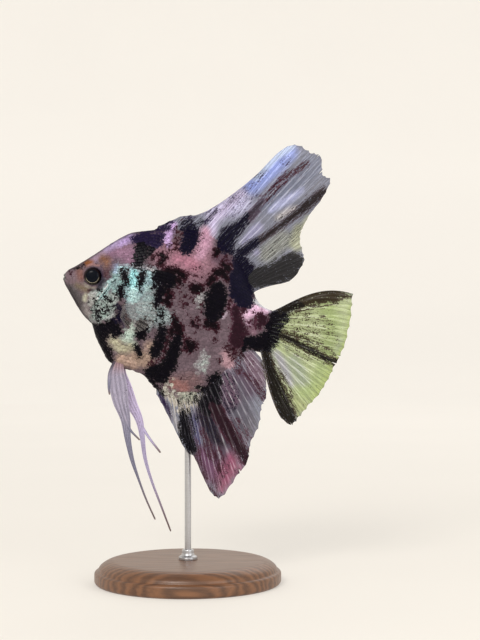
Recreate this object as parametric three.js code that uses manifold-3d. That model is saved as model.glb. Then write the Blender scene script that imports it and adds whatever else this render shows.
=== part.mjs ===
// Marble angelfish: a still, life-size model of a living fish, held up by a plain display stand.
// Millimetres, +Z up. The origin is the centre of the stand's underside, on the rod's axis.
//
// The fish is described in a frame of its own: x runs back from the snout along the body's axis,
// z is up from that axis, and -y is the fish's left. A group then tilts the whole fish nose up.
import * as THREE from 'three';
import { mergeVertices } from 'three/addons/utils/BufferGeometryUtils.js';
import Module from 'manifold-3d';

const wasm = await Module();
wasm.setup();

// ---- Driving dimensions ----
const STANDARD_LENGTH = 80; // snout to the root of the tail fin
const NOSE_UP_DEG = 15;
const GAP = 0.3; // clearance between neighbouring pieces

const BASE_RADIUS = 36;
const BASE_HEIGHT = 9;
const BASE_EDGE = 1; // bevel at the foot
const ROD_RADIUS = 1.25;
const ROD_BACK = 47; // the rod's axis, measured level from the snout
const ROD_ASIDE = 2.4; // and sideways, so that it clears the anal fin
const ROD_END_BELOW_SNOUT = 30; // inside the body, which then cuts the rod to length
const COLLAR_RADIUS = 3.6;
const COLLAR_HEIGHT = 4;
const HANG_CLEARANCE = 10; // air between the lowest fin tip and the base
const LOWEST_TIP = { x: 64.2, z: -84.7 };

const FIN_ROOT_HALF = 0.85; // half thickness where a fin leaves the body
const FIN_EDGE_HALF = 0.27; // half thickness at its margin
const FIN_INSET = 1.6; // how deep a fin's root is let into the body, before it is cut flush

const EYE = { x: 10.35, y: 3.8, z: 3.45, radius: 3.35, depth: 2.35 };
const SNOUT_ROUNDING = 2.5; // length over which the snout closes to a blunt tip
const SNOUT_BLUNTNESS = 2.4; // 2 closes as an ellipse does; more is blunter
const BODY_END = STANDARD_LENGTH + 1;

const COLOURS = {
  flesh: { color: 0x9a6a78, roughness: 0.42, metalness: 0 },
  head: { color: 0x8d6a68, roughness: 0.4, metalness: 0 },
  gill: { color: 0x9fb8b0, roughness: 0.35, metalness: 0 },
  back_fin: { color: 0x9aa0c8, roughness: 0.45, metalness: 0 },
  tail_fin: { color: 0xa8c070, roughness: 0.45, metalness: 0 },
  vent_fin: { color: 0x6a5068, roughness: 0.45, metalness: 0 },
  clear_fin: { color: 0xb0a8c0, roughness: 0.45, metalness: 0 },
  eye: { color: 0x0c1018, roughness: 0.08, metalness: 0 },
  wood: { color: 0x3a241a, roughness: 0.4, metalness: 0 },
  steel: { color: 0xb8bcc0, roughness: 0.3, metalness: 1 },
};

// ---- The body ----
// Stations from snout to tail: back of snout, top line, belly line, half width, height of the
// greatest width, and edge power (1 is an ellipse; more is a sharper keel above and below).
const STATIONS = [
  [-1, 3.0, -1.5, 1.8, 0.7, 1.0],
  [2, 5.3, -4.1, 3.1, 0.6, 1.0],
  [5, 8.4, -7.1, 4.2, 0.6, 1.05],
  [8, 11.6, -10.2, 5.1, 0.6, 1.1],
  [11, 15.0, -12.6, 5.8, 0.5, 1.15],
  [14, 18.3, -14.4, 6.4, 0.0, 1.2],
  [17, 21.3, -18.8, 6.9, -0.5, 1.3],
  [20, 23.7, -22.4, 7.3, -1.0, 1.35],
  [24, 25.4, -26.3, 7.6, -1.5, 1.4],
  [28, 27.0, -27.8, 7.8, -2.0, 1.45],
  [34, 29.2, -27.6, 7.8, -2.0, 1.5],
  [39, 30.6, -28.6, 7.5, -2.0, 1.5],
  [44, 31.4, -31.9, 7.0, -1.5, 1.5],
  [50, 31.0, -34.5, 6.2, -1.0, 1.5],
  [56, 28.8, -34.1, 5.3, -0.5, 1.5],
  [61, 25.4, -30.6, 4.5, 0.0, 1.5],
  [66, 20.4, -24.0, 3.7, 0.0, 1.45],
  [70, 15.4, -16.8, 3.1, 0.0, 1.4],
  [73, 11.6, -11.4, 2.65, 0.0, 1.35],
  [76, 9.5, -8.8, 2.3, 0.0, 1.3],
  [81, 8.6, -8.2, 1.5, 0.0, 1.2],
];

// Cubic interpolation of table rows on their first column, with three-point slopes.
function interpolate(rows, at) {
  const last = rows.length - 1;
  const next = rows.findIndex((row) => row[0] >= at);
  const i = next < 0 ? last - 1 : Math.max(next - 1, 0);
  const [a, b] = [rows[i], rows[i + 1]];
  const span = b[0] - a[0];
  const t = Math.min(Math.max((at - a[0]) / span, 0), 1);
  const slope = (k, column) => {
    const [before, after] = [rows[Math.max(k - 1, 0)], rows[Math.min(k + 1, last)]];
    return (after[column] - before[column]) / (after[0] - before[0]);
  };
  return a.map((value, column) =>
    (2 * t ** 3 - 3 * t ** 2 + 1) * value +
    (t ** 3 - 2 * t ** 2 + t) * span * slope(i, column) +
    (3 * t ** 2 - 2 * t ** 3) * b[column] +
    (t ** 3 - t ** 2) * span * slope(i + 1, column));
}

const topLine = (x) => interpolate(STATIONS, x)[1];
const bellyLine = (x) => interpolate(STATIONS, x)[2];

// Closes a list of equal rings into one skin, with a fan over each end.
function skinOfRings(rings) {
  const around = rings[0].length;
  const points = rings.flat();
  const faces = [];
  for (let i = 0; i < rings.length - 1; i += 1) {
    for (let j = 0; j < around; j += 1) {
      const [a, b] = [i * around + j, i * around + ((j + 1) % around)];
      faces.push(a, b, b + around, a, b + around, a + around);
    }
  }
  const middle = (ring) => ring[0].map((_, k) => ring.reduce((sum, p) => sum + p[k], 0) / around);
  const end = (rings.length - 1) * around;
  points.push(middle(rings[0]), middle(rings[rings.length - 1]));
  for (let j = 0; j < around; j += 1) {
    faces.push(points.length - 2, (j + 1) % around, j);
    faces.push(points.length - 1, end + j, end + ((j + 1) % around));
  }
  return closed(points, faces);
}

// A geometry from points and faces, turned inside out if its faces point in.
function closed(points, faces) {
  const at = (i) => new THREE.Vector3(...points[i]);
  let volume = 0;
  for (let i = 0; i < faces.length; i += 3) {
    volume += at(faces[i]).dot(at(faces[i + 1]).cross(at(faces[i + 2])));
  }
  const geometry = new THREE.BufferGeometry();
  geometry.setAttribute('position', new THREE.Float32BufferAttribute(points.flat(), 3));
  geometry.setIndex(volume > 0 ? faces : faces.reverse());
  return geometry;
}

// The whole body in one skin: at each station a ring whose width falls from its fullest level
// towards the keels above and below. The snout's rings shrink as a full, blunt ellipse does.
function bodyGeometry(grow = 0) {
  const BACK_STEPS = 31;
  const AROUND = 24;
  const SNOUT_STEPS = [0.004, 0.05, 0.16, 0.36, 0.64];
  const start = STATIONS[0][0];
  const length = BODY_END - start;
  const stops = SNOUT_STEPS.map((share) => start + share * SNOUT_ROUNDING);
  for (let i = 0; i <= BACK_STEPS; i += 1) {
    stops.push(start + SNOUT_ROUNDING + (i / BACK_STEPS) * (length - SNOUT_ROUNDING));
  }
  const rings = stops.map((x) => {
    const [, top, belly, half, level, power] = interpolate(STATIONS, x);
    const into = Math.min((x - start) / SNOUT_ROUNDING, 1);
    const closing = (1 - (1 - into) ** SNOUT_BLUNTNESS) ** (1 / SNOUT_BLUNTNESS);
    const share = (x - start) / length;
    return Array.from({ length: AROUND }, (_, j) => {
      const angle = (j / AROUND) * 2 * Math.PI;
      const [c, s] = [Math.cos(angle), Math.sin(angle)];
      const reach = s > 0 ? top - level : level - belly;
      return [
        x + grow * (2 * share - 1),
        Math.sign(c) * Math.abs(c) ** power * (half * closing + grow),
        level + s * (reach * closing + grow),
      ];
    });
  });
  return skinOfRings(rings);
}

// ---- Solids: three.js geometry in and out of manifold-3d, for cutting and joining ----
function solid(geometry) {
  const bare = geometry.clone();
  bare.deleteAttribute('normal');
  bare.deleteAttribute('uv');
  const merged = mergeVertices(bare, 1e-4);
  return new wasm.Manifold(new wasm.Mesh({
    numProp: 3,
    vertProperties: Float32Array.from(merged.attributes.position.array),
    triVerts: Uint32Array.from(merged.index.array),
  }));
}

function geometryOf(cut) {
  const { vertProperties, triVerts, numProp } = cut.getMesh();
  const geometry = new THREE.BufferGeometry();
  const positions = new THREE.BufferAttribute(Float32Array.from(vertProperties), numProp);
  geometry.setAttribute('position', positions);
  geometry.setIndex(new THREE.BufferAttribute(Uint32Array.from(triVerts), 1));
  return geometry;
}

// A side-view outline given a thickness across the fish, from y = near to y = far.
function slab(outline, near = -20, far = 20) {
  const shape = new THREE.Shape(outline.map(([x, z]) => new THREE.Vector2(x, z)));
  const geometry = new THREE.ExtrudeGeometry(shape, { depth: far - near, bevelEnabled: false });
  return geometry.rotateX(Math.PI / 2).translate(0, far, 0);
}

const smooth = (points, steps) =>
  new THREE.SplineCurve(points.map(([x, z]) => new THREE.Vector2(x, z)))
    .getPoints(steps)
    .map((p) => [p.x, p.y]);

// ---- Where a person would divide the body: gill opening, cheek, mouth and tail stalk ----
const GILL_OPENING = smooth(
  [[21.5, 32], [22.8, 18], [24.4, 6], [24.7, -1], [23.4, -7], [20.6, -11.6], [17, -13.7], [12, -14.6]],
  16,
);
const CHEEK = smooth([[12.6, -13.2], [12.9, -9], [14.2, -4.6], [16.6, 0.8], [18.4, 6.4], [19, 10]], 8);
const GILL_TOP = [[21, 11.4], [24.2, 11]];
const MOUTH = [[-3, 0.4], [0.2, 0.0], [3.0, -2.9], [4.4, -5.2], [6.4, -11]];
const STALK = [[71.8, 16], [72.6, 6], [75.6, -12]];

const headRegion = [[-9, -15.4], [-9, 32], ...GILL_OPENING];
const gillRegion = [...CHEEK, ...GILL_TOP, [27, 6], [27, -16], [12.6, -16]];
const jawRegion = [...MOUTH, [-3, -11]];
const stalkRegion = [...STALK, [90, -12], [90, 16]];

// ---- Fins ----
// A key ray of the dorsal or anal fin is [root x, tip x, tip z, bow], with its root on the body's
// top or belly line. The tail's and the pectoral fins' rays have [root x, root z, tip x, tip z, bow].
// The bow is how far a ray's middle stands off the straight line, towards the front or top.
const DORSAL_RAYS = [
  [28.6, 29.6, 28.4, 0], [33, 36.8, 34.0, 0], [38, 44.6, 37.8, 0],
  [43, 52.4, 46.4, 0], [47, 60.4, 57.4, 0], [50, 67.2, 69.0, 0.4],
  [52.5, 72.8, 72.9, 0.6], [55.5, 78.6, 71.4, 0.4], [58.5, 82.6, 70.8, 0],
  [61, 85.4, 64.4, 0], [62.8, 88.7, 62.8, 0], [64.4, 87.2, 55.4, 0],
  [65.8, 83.9, 47.4, 0], [67, 83.0, 39.0, 0], [68, 86.0, 33.0, 0.4],
  [69, 86.9, 29.0, 0.6], [69.8, 83.6, 22.2, 0.4], [70.4, 76.5, 18.2, 0],
  [70.9, 72.2, 15.6, 0],
];
const ANAL_RAYS = [
  [44.4, 45.6, -33.4, 0], [47, 50.6, -38.9, 0], [50, 56.6, -45.4, 0],
  [53, 62.6, -51.7, 0], [55, 66.2, -53.2, 0], [56.8, 71.6, -60.2, 0],
  [58.6, 76.4, -65.3, 0], [60.6, 79.9, -65.7, 0], [62.6, 83.4, -56.8, 0],
  [65, 85.9, -49.6, 0], [67, 85.3, -42.4, 0], [69, 86.7, -35.6, 0],
  [70.6, 85.7, -28.6, 0], [72.2, 86.0, -24.4, 0], [73.6, 83.2, -17.4, 0],
  [75.2, 79.9, -11.6, 0], [76.6, 77.5, -9.2, 0],
];
const TAIL_RAYS = [
  [79.0, 7.7, 108.3, 22.2, 4.6], [79.4, 5.6, 109.6, 15.5, 2.2], [79.7, 3.4, 110.3, 8.0, 0.7],
  [79.9, 1.2, 110.1, 0.5, 0], [79.9, -0.8, 108.9, -5.4, 0], [79.8, -2.6, 107.7, -11.2, 0],
  [79.7, -4.2, 105.9, -17.4, 0], [79.6, -5.4, 103.0, -23.4, -0.2], [79.5, -6.4, 100.6, -28.6, -0.5],
  [79.4, -6.9, 98.4, -32.0, -0.8], [79.4, -7.3, 93.8, -30.4, -1.1],
];

// The fan of rays as a function of place along the fin (0 to 1) and along a ray (0 to 1).
function fan(rays) {
  const rows = rays.map((ray, i) => [i / (rays.length - 1), ...ray]);
  return (along, out) => {
    const [, rootX, rootZ, tipX, tipZ, bow] = interpolate(rows, along);
    const [dx, dz] = [tipX - rootX, tipZ - rootZ];
    const length = Math.hypot(dx, dz);
    const lift = (bow * 4 * out * (1 - out)) / length;
    return [rootX + dx * out - dz * lift, rootZ + dz * out + dx * lift];
  };
}

// A fin in the fish's mid-plane: the fan, swayed sideways, with a thickness that thins outwards.
function medianFin(rays, sway, columns, rows) {
  const place = fan(rays);
  const at = (i, j, side) => {
    const [along, out] = [i / columns, j / rows];
    const [x, z] = place(along, out);
    const half = FIN_ROOT_HALF + (FIN_EDGE_HALF - FIN_ROOT_HALF) * out ** 0.6;
    return [x, sway(along, out) + side * half, z];
  };
  return sheet(at, columns, rows);
}

// Two faces of a sheet, side -1 and +1, closed round the edge.
function sheet(at, columns, rows) {
  const points = [];
  for (const side of [-1, 1]) {
    for (let i = 0; i <= columns; i += 1) {
      for (let j = 0; j <= rows; j += 1) points.push(at(i, j, side));
    }
  }
  const id = (i, j, face) => (face * (columns + 1) + i) * (rows + 1) + j;
  const faces = [];
  const quad = (a, b, c, d) => faces.push(a, b, c, a, c, d);
  for (let i = 0; i < columns; i += 1) {
    for (let j = 0; j < rows; j += 1) {
      quad(id(i, j, 0), id(i + 1, j, 0), id(i + 1, j + 1, 0), id(i, j + 1, 0));
      quad(id(i, j, 1), id(i, j + 1, 1), id(i + 1, j + 1, 1), id(i + 1, j, 1));
    }
    quad(id(i, 0, 0), id(i, 0, 1), id(i + 1, 0, 1), id(i + 1, 0, 0));
    quad(id(i, rows, 0), id(i + 1, rows, 0), id(i + 1, rows, 1), id(i, rows, 1));
  }
  for (let j = 0; j < rows; j += 1) {
    quad(id(0, j, 0), id(0, j + 1, 0), id(0, j + 1, 1), id(0, j, 1));
    quad(id(columns, j, 0), id(columns, j, 1), id(columns, j + 1, 1), id(columns, j + 1, 0));
  }
  return closed(points, faces);
}

// Gives rays their roots' heights: on a line of the body, and let into it by inset.
const rooted = (rays, line, inset) =>
  rays.map(([rootX, ...rest]) => [rootX, line(rootX) + inset, ...rest]);

const dorsalFin = () =>
  medianFin(
    rooted(DORSAL_RAYS, topLine, -FIN_INSET),
    (along, out) => 1.3 * out ** 2 * Math.sin(2 * Math.PI * along * 1.1 + 0.6),
    34,
    5,
  );
const analFin = () =>
  medianFin(
    rooted(ANAL_RAYS, bellyLine, FIN_INSET),
    (along, out) => -(out ** 2) * (0.7 + 0.9 * Math.sin(2 * Math.PI * along * 0.9)),
    30,
    5,
  );
const tailFin = () =>
  medianFin(
    TAIL_RAYS,
    (along, out) => -(out ** 1.6) * (1.6 + 0.9 * Math.sin(2 * Math.PI * along + 0.8)),
    24,
    5,
  );

// A pectoral fin: a fan held a little away from the flank. Side -1 is the fish's left.
const PECTORAL_RAYS = [
  [23.2, -4.0, 35.2, 0.6, 0], [23.4, -5.0, 38.2, -3.4, 0], [23.7, -6.2, 37.8, -8.2, 0],
  [24.1, -7.4, 34.2, -12.0, 0], [24.4, -8.4, 30.4, -14.0, 0.3], [24.6, -9.2, 27.6, -13.6, 0.5],
];
const PECTORAL = { rootY: 6.9, spreadY: 6.2, half: 0.26 };

function pectoralFin(side) {
  const [columns, rows] = [12, 5];
  const place = fan(PECTORAL_RAYS);
  const at = (i, j, face) => {
    const [x, z] = place(i / columns, j / rows);
    const out = j / rows;
    const y = PECTORAL.rootY + PECTORAL.spreadY * out * (1 - 0.25 * out);
    return [x, side * y + face * PECTORAL.half, z];
  };
  return sheet(at, columns, rows);
}

// A ribbon along a line of [x, y, z, half width] stops, flat in side view, pointed at its end.
const RIBBON_HALF = 0.27;
const RIBBON_SECTION = [[1, 0], [0.6, 1], [-0.6, 1], [-1, 0], [-0.6, -1], [0.6, -1]];

function ribbon(stops, steps) {
  const rows = stops.map((stop, i) => [i / (stops.length - 1), ...stop]);
  const rings = [];
  for (let i = 0; i <= steps; i += 1) {
    const [, x, y, z, half] = interpolate(rows, i / steps);
    const ahead = interpolate(rows, Math.min(i / steps + 0.01, 1));
    const behind = interpolate(rows, Math.max(i / steps - 0.01, 0));
    const [dx, dz] = [ahead[1] - behind[1], ahead[3] - behind[3]];
    const length = Math.hypot(dx, dz);
    const wide = Math.max(half, RIBBON_HALF);
    rings.push(RIBBON_SECTION.map(([across, thick]) => [
      x - (dz / length) * across * wide,
      y + thick * RIBBON_HALF,
      z + (dx / length) * across * wide,
    ]));
  }
  return skinOfRings(rings);
}

// Each pelvic fin is a short stiff spine, a narrow web that draws out into a long thread, and a
// second, shorter thread. The right fin trails a little behind the left.
const LEFT_PELVIC = {
  web: [
    [28.2, -1.5, -25.6, 1.9], [29.0, -1.9, -30, 3.1], [30.6, -2.4, -35, 3.7],
    [32.3, -3.0, -40, 3.4], [35.0, -3.7, -46, 2.2], [38.4, -4.6, -53, 1.2],
    [42.6, -5.6, -59.6, 0.8], [47.8, -6.7, -66.6, 0.5], [52.8, -7.7, -73.4, 0.4],
    [58.2, -8.6, -79.4, 0.3],
  ],
  thread: [[37.0, -3.9, -46.5, 0.6], [39.6, -4.4, -49.6, 0.45], [43.9, -4.9, -52.2, 0.3]],
  spine: [[27.0, -1.5, -25.8, 0.9], [26.2, -1.9, -30.6, 0.8], [27.0, -2.4, -35.4, 0.55],
    [28.1, -2.7, -38.6, 0.3]],
};
const RIGHT_PELVIC = {
  web: [
    [29.6, 1.5, -25.6, 1.8], [31.2, 1.9, -30, 2.9], [33.6, 2.4, -35, 2.9],
    [36.8, 3.0, -40, 2.3], [40.4, 3.7, -45.4, 1.5], [43.9, 4.6, -51.4, 1.0],
    [46.9, 5.6, -59.5, 0.7], [51.3, 6.7, -67.3, 0.5], [57.3, 7.7, -76.1, 0.4],
    [LOWEST_TIP.x, 8.6, LOWEST_TIP.z, 0.3],
  ],
  thread: [[41.2, 3.9, -45.9, 0.7], [46.4, 4.6, -51.0, 0.5], [52.5, 5.2, -55.8, 0.35]],
  spine: [[28.2, 1.5, -25.8, 0.9], [28.8, 1.9, -30.6, 0.8], [30.2, 2.4, -35.2, 0.55],
    [32.0, 2.7, -38.2, 0.3]],
};

const pelvicFin = ({ web, thread, spine }) =>
  solid(ribbon(web, 20)).add(solid(ribbon(thread, 5))).add(solid(ribbon(spine, 5)));

// ---- Eyes: flattened balls in sockets a little larger ----
function eyeBall(side, grow = 0) {
  return new THREE.SphereGeometry(1, 16, 8)
    .rotateX(Math.PI / 2)
    .scale(EYE.radius + grow, EYE.depth + grow, EYE.radius + grow)
    .translate(EYE.x, side * EYE.y, EYE.z);
}

// ---- The stand ----
function standBase() {
  const profile = [
    [0, 0], [BASE_RADIUS - BASE_EDGE, 0], [BASE_RADIUS, BASE_EDGE], [BASE_RADIUS, 4.6],
    [BASE_RADIUS - 1.6, 6], [BASE_RADIUS - 2.6, 7.6], [BASE_RADIUS - 5.5, BASE_HEIGHT],
    [0, BASE_HEIGHT],
  ];
  return turned(profile, 36);
}

function standCollar() {
  const bore = ROD_RADIUS + GAP;
  const profile = [
    [bore, BASE_HEIGHT], [COLLAR_RADIUS, BASE_HEIGHT], [COLLAR_RADIUS, BASE_HEIGHT + 1.2],
    [COLLAR_RADIUS - 1, BASE_HEIGHT + 1.8], [COLLAR_RADIUS - 1.2, BASE_HEIGHT + COLLAR_HEIGHT],
    [bore, BASE_HEIGHT + COLLAR_HEIGHT], [bore, BASE_HEIGHT],
  ];
  return turned(profile, 16);
}

function turned(profile, segments) {
  const points = profile.map(([r, z]) => new THREE.Vector2(r, z));
  return new THREE.LatheGeometry(points, segments).rotateX(Math.PI / 2);
}

// ---- Putting it together ----
const tilt = THREE.MathUtils.degToRad(NOSE_UP_DEG);
const drop = LOWEST_TIP.x * Math.sin(tilt) - LOWEST_TIP.z * Math.cos(tilt);
const snoutHeight = BASE_HEIGHT + HANG_CLEARANCE + drop;

const fish = new THREE.Group();
fish.rotation.y = tilt;
fish.position.set(-ROD_BACK, -ROD_ASIDE, snoutHeight);
fish.updateMatrix();

const angelfish = new THREE.Group();
angelfish.add(fish);

function place(group, name, shape, finish) {
  const geometry = shape.isBufferGeometry ? shape : geometryOf(shape);
  const mesh = new THREE.Mesh(geometry, new THREE.MeshStandardMaterial(COLOURS[finish]));
  mesh.name = name;
  group.add(mesh);
}

const body = solid(bodyGeometry());
const bodyWithClearance = bodyGeometry(GAP);
const flush = (piece) => piece.subtract(solid(bodyWithClearance));
const shifted = (outline, dx, dz) => outline.map(([x, z]) => [x + dx, z + dz]);

const sockets = solid(eyeBall(-1, GAP)).add(solid(eyeBall(1, GAP)));
const wholeHead = body.intersect(solid(slab(headRegion))).subtract(sockets);
const stalk = body.intersect(solid(slab(stalkRegion)));
const trunk = body
  .subtract(solid(slab(shifted(headRegion, GAP, -GAP))))
  .subtract(solid(slab(shifted(stalkRegion, -GAP, 0))));

const GILL_DEPTH = 4; // a gill cover reaches in to this distance from the mid-plane
const gillLeft = wholeHead.intersect(solid(slab(gillRegion, -20, -GILL_DEPTH)));
const gillRight = wholeHead.intersect(solid(slab(gillRegion, GILL_DEPTH, 20)));
const gillCut = shifted(gillRegion, -GAP, 0).map(([x, z]) => [x, z + (z > 9 ? GAP : 0)]);
const gillSpace = solid(slab(gillCut, -20, GAP - GILL_DEPTH))
  .add(solid(slab(gillCut, GILL_DEPTH - GAP, 20)));
const jaw = wholeHead.intersect(solid(slab(jawRegion)));
const head = wholeHead
  .subtract(gillSpace)
  .subtract(solid(slab(shifted(jawRegion, GAP, GAP))));

place(fish, 'head', head, 'head');
place(fish, 'lower_jaw', jaw, 'head');
place(fish, 'gill_cover_left', gillLeft, 'gill');
place(fish, 'gill_cover_right', gillRight, 'gill');
place(fish, 'trunk', trunk, 'flesh');
place(fish, 'tail_stalk', stalk, 'flesh');
place(fish, 'eye_left', eyeBall(-1), 'eye');
place(fish, 'eye_right', eyeBall(1), 'eye');
place(fish, 'dorsal_fin', flush(solid(dorsalFin())), 'back_fin');
place(fish, 'anal_fin', flush(solid(analFin())), 'vent_fin');
place(fish, 'tail_fin', flush(solid(tailFin())), 'tail_fin');
place(fish, 'pectoral_fin_left', flush(solid(pectoralFin(-1))), 'clear_fin');
place(fish, 'pectoral_fin_right', flush(solid(pectoralFin(1))), 'clear_fin');
place(fish, 'pelvic_fin_left', flush(pelvicFin(LEFT_PELVIC)), 'clear_fin');
place(fish, 'pelvic_fin_right', flush(pelvicFin(RIGHT_PELVIC)), 'clear_fin');

const rodTop = snoutHeight - ROD_END_BELOW_SNOUT;
const rod = new THREE.CylinderGeometry(ROD_RADIUS, ROD_RADIUS, rodTop - BASE_HEIGHT, 16)
  .rotateX(Math.PI / 2)
  .translate(0, 0, (rodTop + BASE_HEIGHT) / 2);
const standingBody = bodyWithClearance.clone().applyMatrix4(fish.matrix);
place(angelfish, 'stand_rod', solid(rod).subtract(solid(standingBody)), 'steel');
place(angelfish, 'stand_collar', standCollar(), 'steel');
place(angelfish, 'stand_base', standBase(), 'wood');

export default angelfish;
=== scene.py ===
# %% [markdown]
# # A marble angelfish on its stand
# This lesson dresses a plain faceted angelfish until it looks alive. The faceted solids are already
# in place, so every new piece takes its position from them. Work goes from the outside in: first the
# frame and a few tools, then the markings, the skin, the scales, the eyes, the fins, the stand, and
# last the light and the camera.

import math

import bpy
import numpy as np
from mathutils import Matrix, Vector


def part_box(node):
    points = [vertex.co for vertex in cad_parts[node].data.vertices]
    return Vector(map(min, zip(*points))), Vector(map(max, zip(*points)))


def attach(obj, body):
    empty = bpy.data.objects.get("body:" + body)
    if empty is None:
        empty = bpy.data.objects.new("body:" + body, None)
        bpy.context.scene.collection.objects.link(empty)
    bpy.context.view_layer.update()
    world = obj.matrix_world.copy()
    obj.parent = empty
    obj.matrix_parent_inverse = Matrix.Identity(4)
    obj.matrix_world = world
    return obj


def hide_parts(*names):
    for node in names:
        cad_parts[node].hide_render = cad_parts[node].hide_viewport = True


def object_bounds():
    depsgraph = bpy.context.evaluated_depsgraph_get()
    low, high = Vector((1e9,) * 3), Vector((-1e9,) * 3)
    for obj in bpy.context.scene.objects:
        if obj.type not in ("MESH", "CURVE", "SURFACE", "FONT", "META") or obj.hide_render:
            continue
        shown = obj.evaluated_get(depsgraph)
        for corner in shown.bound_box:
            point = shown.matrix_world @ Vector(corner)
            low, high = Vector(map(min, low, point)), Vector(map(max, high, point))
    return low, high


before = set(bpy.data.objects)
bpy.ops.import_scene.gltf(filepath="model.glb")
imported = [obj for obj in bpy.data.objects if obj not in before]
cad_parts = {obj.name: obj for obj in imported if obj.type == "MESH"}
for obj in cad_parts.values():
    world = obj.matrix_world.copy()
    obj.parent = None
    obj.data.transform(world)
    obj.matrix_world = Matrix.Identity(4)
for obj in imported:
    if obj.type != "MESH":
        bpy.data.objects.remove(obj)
cad_low, cad_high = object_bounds()
print("nodes in the frame:", ", ".join(sorted(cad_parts)))
print("the solids' box, mm:", [round(1000 * (b - a), 1) for a, b in zip(cad_low, cad_high)])

# %% [markdown]
# ## The fish's own coordinates
# A fish is easiest to describe along its own axis: x runs back from the snout, z up from the axis and
# y to the fish's right, all in millimetres. The whole fish is then pitched nose up. The two eyes give
# the place: halfway between them is a known point of the fish, so one rotation and one shift carry
# any point from the fish's coordinates into the frame.

# %% From fish to frame
MM = 0.001
NOSE_UP = math.radians(15)
EYE = {"x": 10.35, "y": 3.8, "z": 3.45, "radius": 3.35, "depth": 2.35}
BACKWARD = np.array([math.cos(NOSE_UP), 0.0, -math.sin(NOSE_UP)])
ASIDE = np.array([0.0, 1.0, 0.0])
UPWARD = np.array([math.sin(NOSE_UP), 0.0, math.cos(NOSE_UP)])


def middle_of(node):
    """The middle of a node's box, in metres."""
    low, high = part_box(node)
    return (np.array(low) + np.array(high)) / 2


between_eyes = (middle_of("eye_left") + middle_of("eye_right")) / 2
SNOUT = between_eyes - MM * (EYE["x"] * BACKWARD + EYE["z"] * UPWARD)


def in_frame(points):
    """Fish millimetres to frame metres: the snout's place plus x, y and z times the fish's axes."""
    x, y, z = points[..., 0:1], points[..., 1:2], points[..., 2:3]
    return SNOUT + MM * (x * BACKWARD + y * ASIDE + z * UPWARD)


print("the snout stands at, mm:", np.round(SNOUT * 1000, 2))

# %% [markdown]
# ## Small tools
# A few helpers carry most of the work. A cubic flows through the rows of a short table, so a few
# stations describe a whole outline. Smooth noise breaks up edges. A ramp turns a distance into a soft
# mask, and a blend lays one colour over another through it. Colours are written the way a paint chart
# gives them and turned into light.

# %% Curves, noise and ramps
def flow(rows, at):
    """Values of a table at `at`: a cubic between rows, its slopes taken from the rows either side."""
    rows = np.asarray(rows, float)
    at = np.asarray(at, float)
    key = rows[:, 0]
    slopes = np.empty_like(rows)
    slopes[1:-1] = (rows[2:] - rows[:-2]) / (key[2:] - key[:-2])[:, None]
    slopes[0] = (rows[1] - rows[0]) / (key[1] - key[0])
    slopes[-1] = (rows[-1] - rows[-2]) / (key[-1] - key[-2])
    i = np.clip(np.searchsorted(key, at, side="left") - 1, 0, len(key) - 2)
    span = (key[i + 1] - key[i])[..., None]
    t = np.clip((at - key[i])[..., None] / span, 0, 1)
    start = (2 * t**3 - 3 * t**2 + 1) * rows[i] + (t**3 - 2 * t**2 + t) * span * slopes[i]
    end = (3 * t**2 - 2 * t**3) * rows[i + 1] + (t**3 - t**2) * span * slopes[i + 1]
    return start + end


LATTICE = np.random.default_rng(7).random((8, 128, 128))


def mottle(u, v, sheet=0):
    """Smooth noise from 0 to 1 with one bump per unit: four random corners, blended across."""
    i, j = np.floor(u).astype(int), np.floor(v).astype(int)
    f, g = u - i, v - j
    f, g = f * f * (3 - 2 * f), g * g * (3 - 2 * g)
    table = LATTICE[sheet % 8]
    i, j, i1, j1 = i % 128, j % 128, (i + 1) % 128, (j + 1) % 128
    low = table[i, j] * (1 - f) + table[i1, j] * f
    high = table[i, j1] * (1 - f) + table[i1, j1] * f
    return low * (1 - g) + high * g


def ramp(low, high, value):
    """0 below low, 1 above high and an S-curve between."""
    t = np.clip((value - low) / (high - low), 0, 1)
    return t * t * (3 - 2 * t)


def blend(first, second, share):
    """first + (second - first) x share, with one share for all three numbers of a colour."""
    return first + (second - first) * np.asarray(share)[..., None]


def paint(red, green, blue):
    """A paint-chart colour, 0 to 255, as light: the screen's curve undone."""
    c = np.array([red, green, blue]) / 255
    return np.where(c < 0.04045, c / 12.92, ((c + 0.055) / 1.055) ** 2.4)


def opaque(*chart):
    """A paint-chart colour as light with a 1 for opacity, the way a node takes it."""
    return (*paint(*chart), 1)


print("tools ready; mid grey is", np.round(paint(128, 128, 128), 3))

# %% [markdown]
# ## Skins on grids
# Every new piece is a closed skin: a run of rings, each ring closed on itself, with the first and the
# last ring zipped shut across. Such a skin is all four-cornered faces, it has no holes, and each
# corner has a natural place on a flat map, its row and its column. If its volume comes out negative,
# the faces are turned round, so that they always point outwards.

# %% Closed skins from rings
def ring_faces(rows, columns):
    """Corner numbers and (row, column) places of the faces between rings and of both zipped ends."""
    r, c = np.meshgrid(np.arange(rows - 1), np.arange(columns), indexing="ij")
    steps = ((0, 0), (1, 0), (1, 1), (0, 1))
    sides = np.stack([np.stack([r + dr, c + dc], -1) for dr, dc in steps], -2).reshape(-1, 4, 2)
    j = np.arange(columns // 2 - 1)
    zip_first = np.stack([j, j + 1, columns - 2 - j, columns - 1 - j], -1)
    first = np.stack([np.zeros_like(zip_first), zip_first], -1)
    last = np.stack([np.full_like(zip_first, rows - 1), zip_first], -1)[:, ::-1]
    places = np.concatenate([sides, first, last])
    return places[..., 0] * columns + places[..., 1] % columns, places


def signed_volume(points, corners):
    """Six times the volume inside: the sum over triangles of a . (b x c)."""
    tris = np.concatenate([corners[:, :3], corners[:, [0, 2, 3]]])
    a, b, c = (points[tris[:, k]] for k in range(3))
    return np.einsum("ij,ij->", a, np.cross(b, c))


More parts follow.
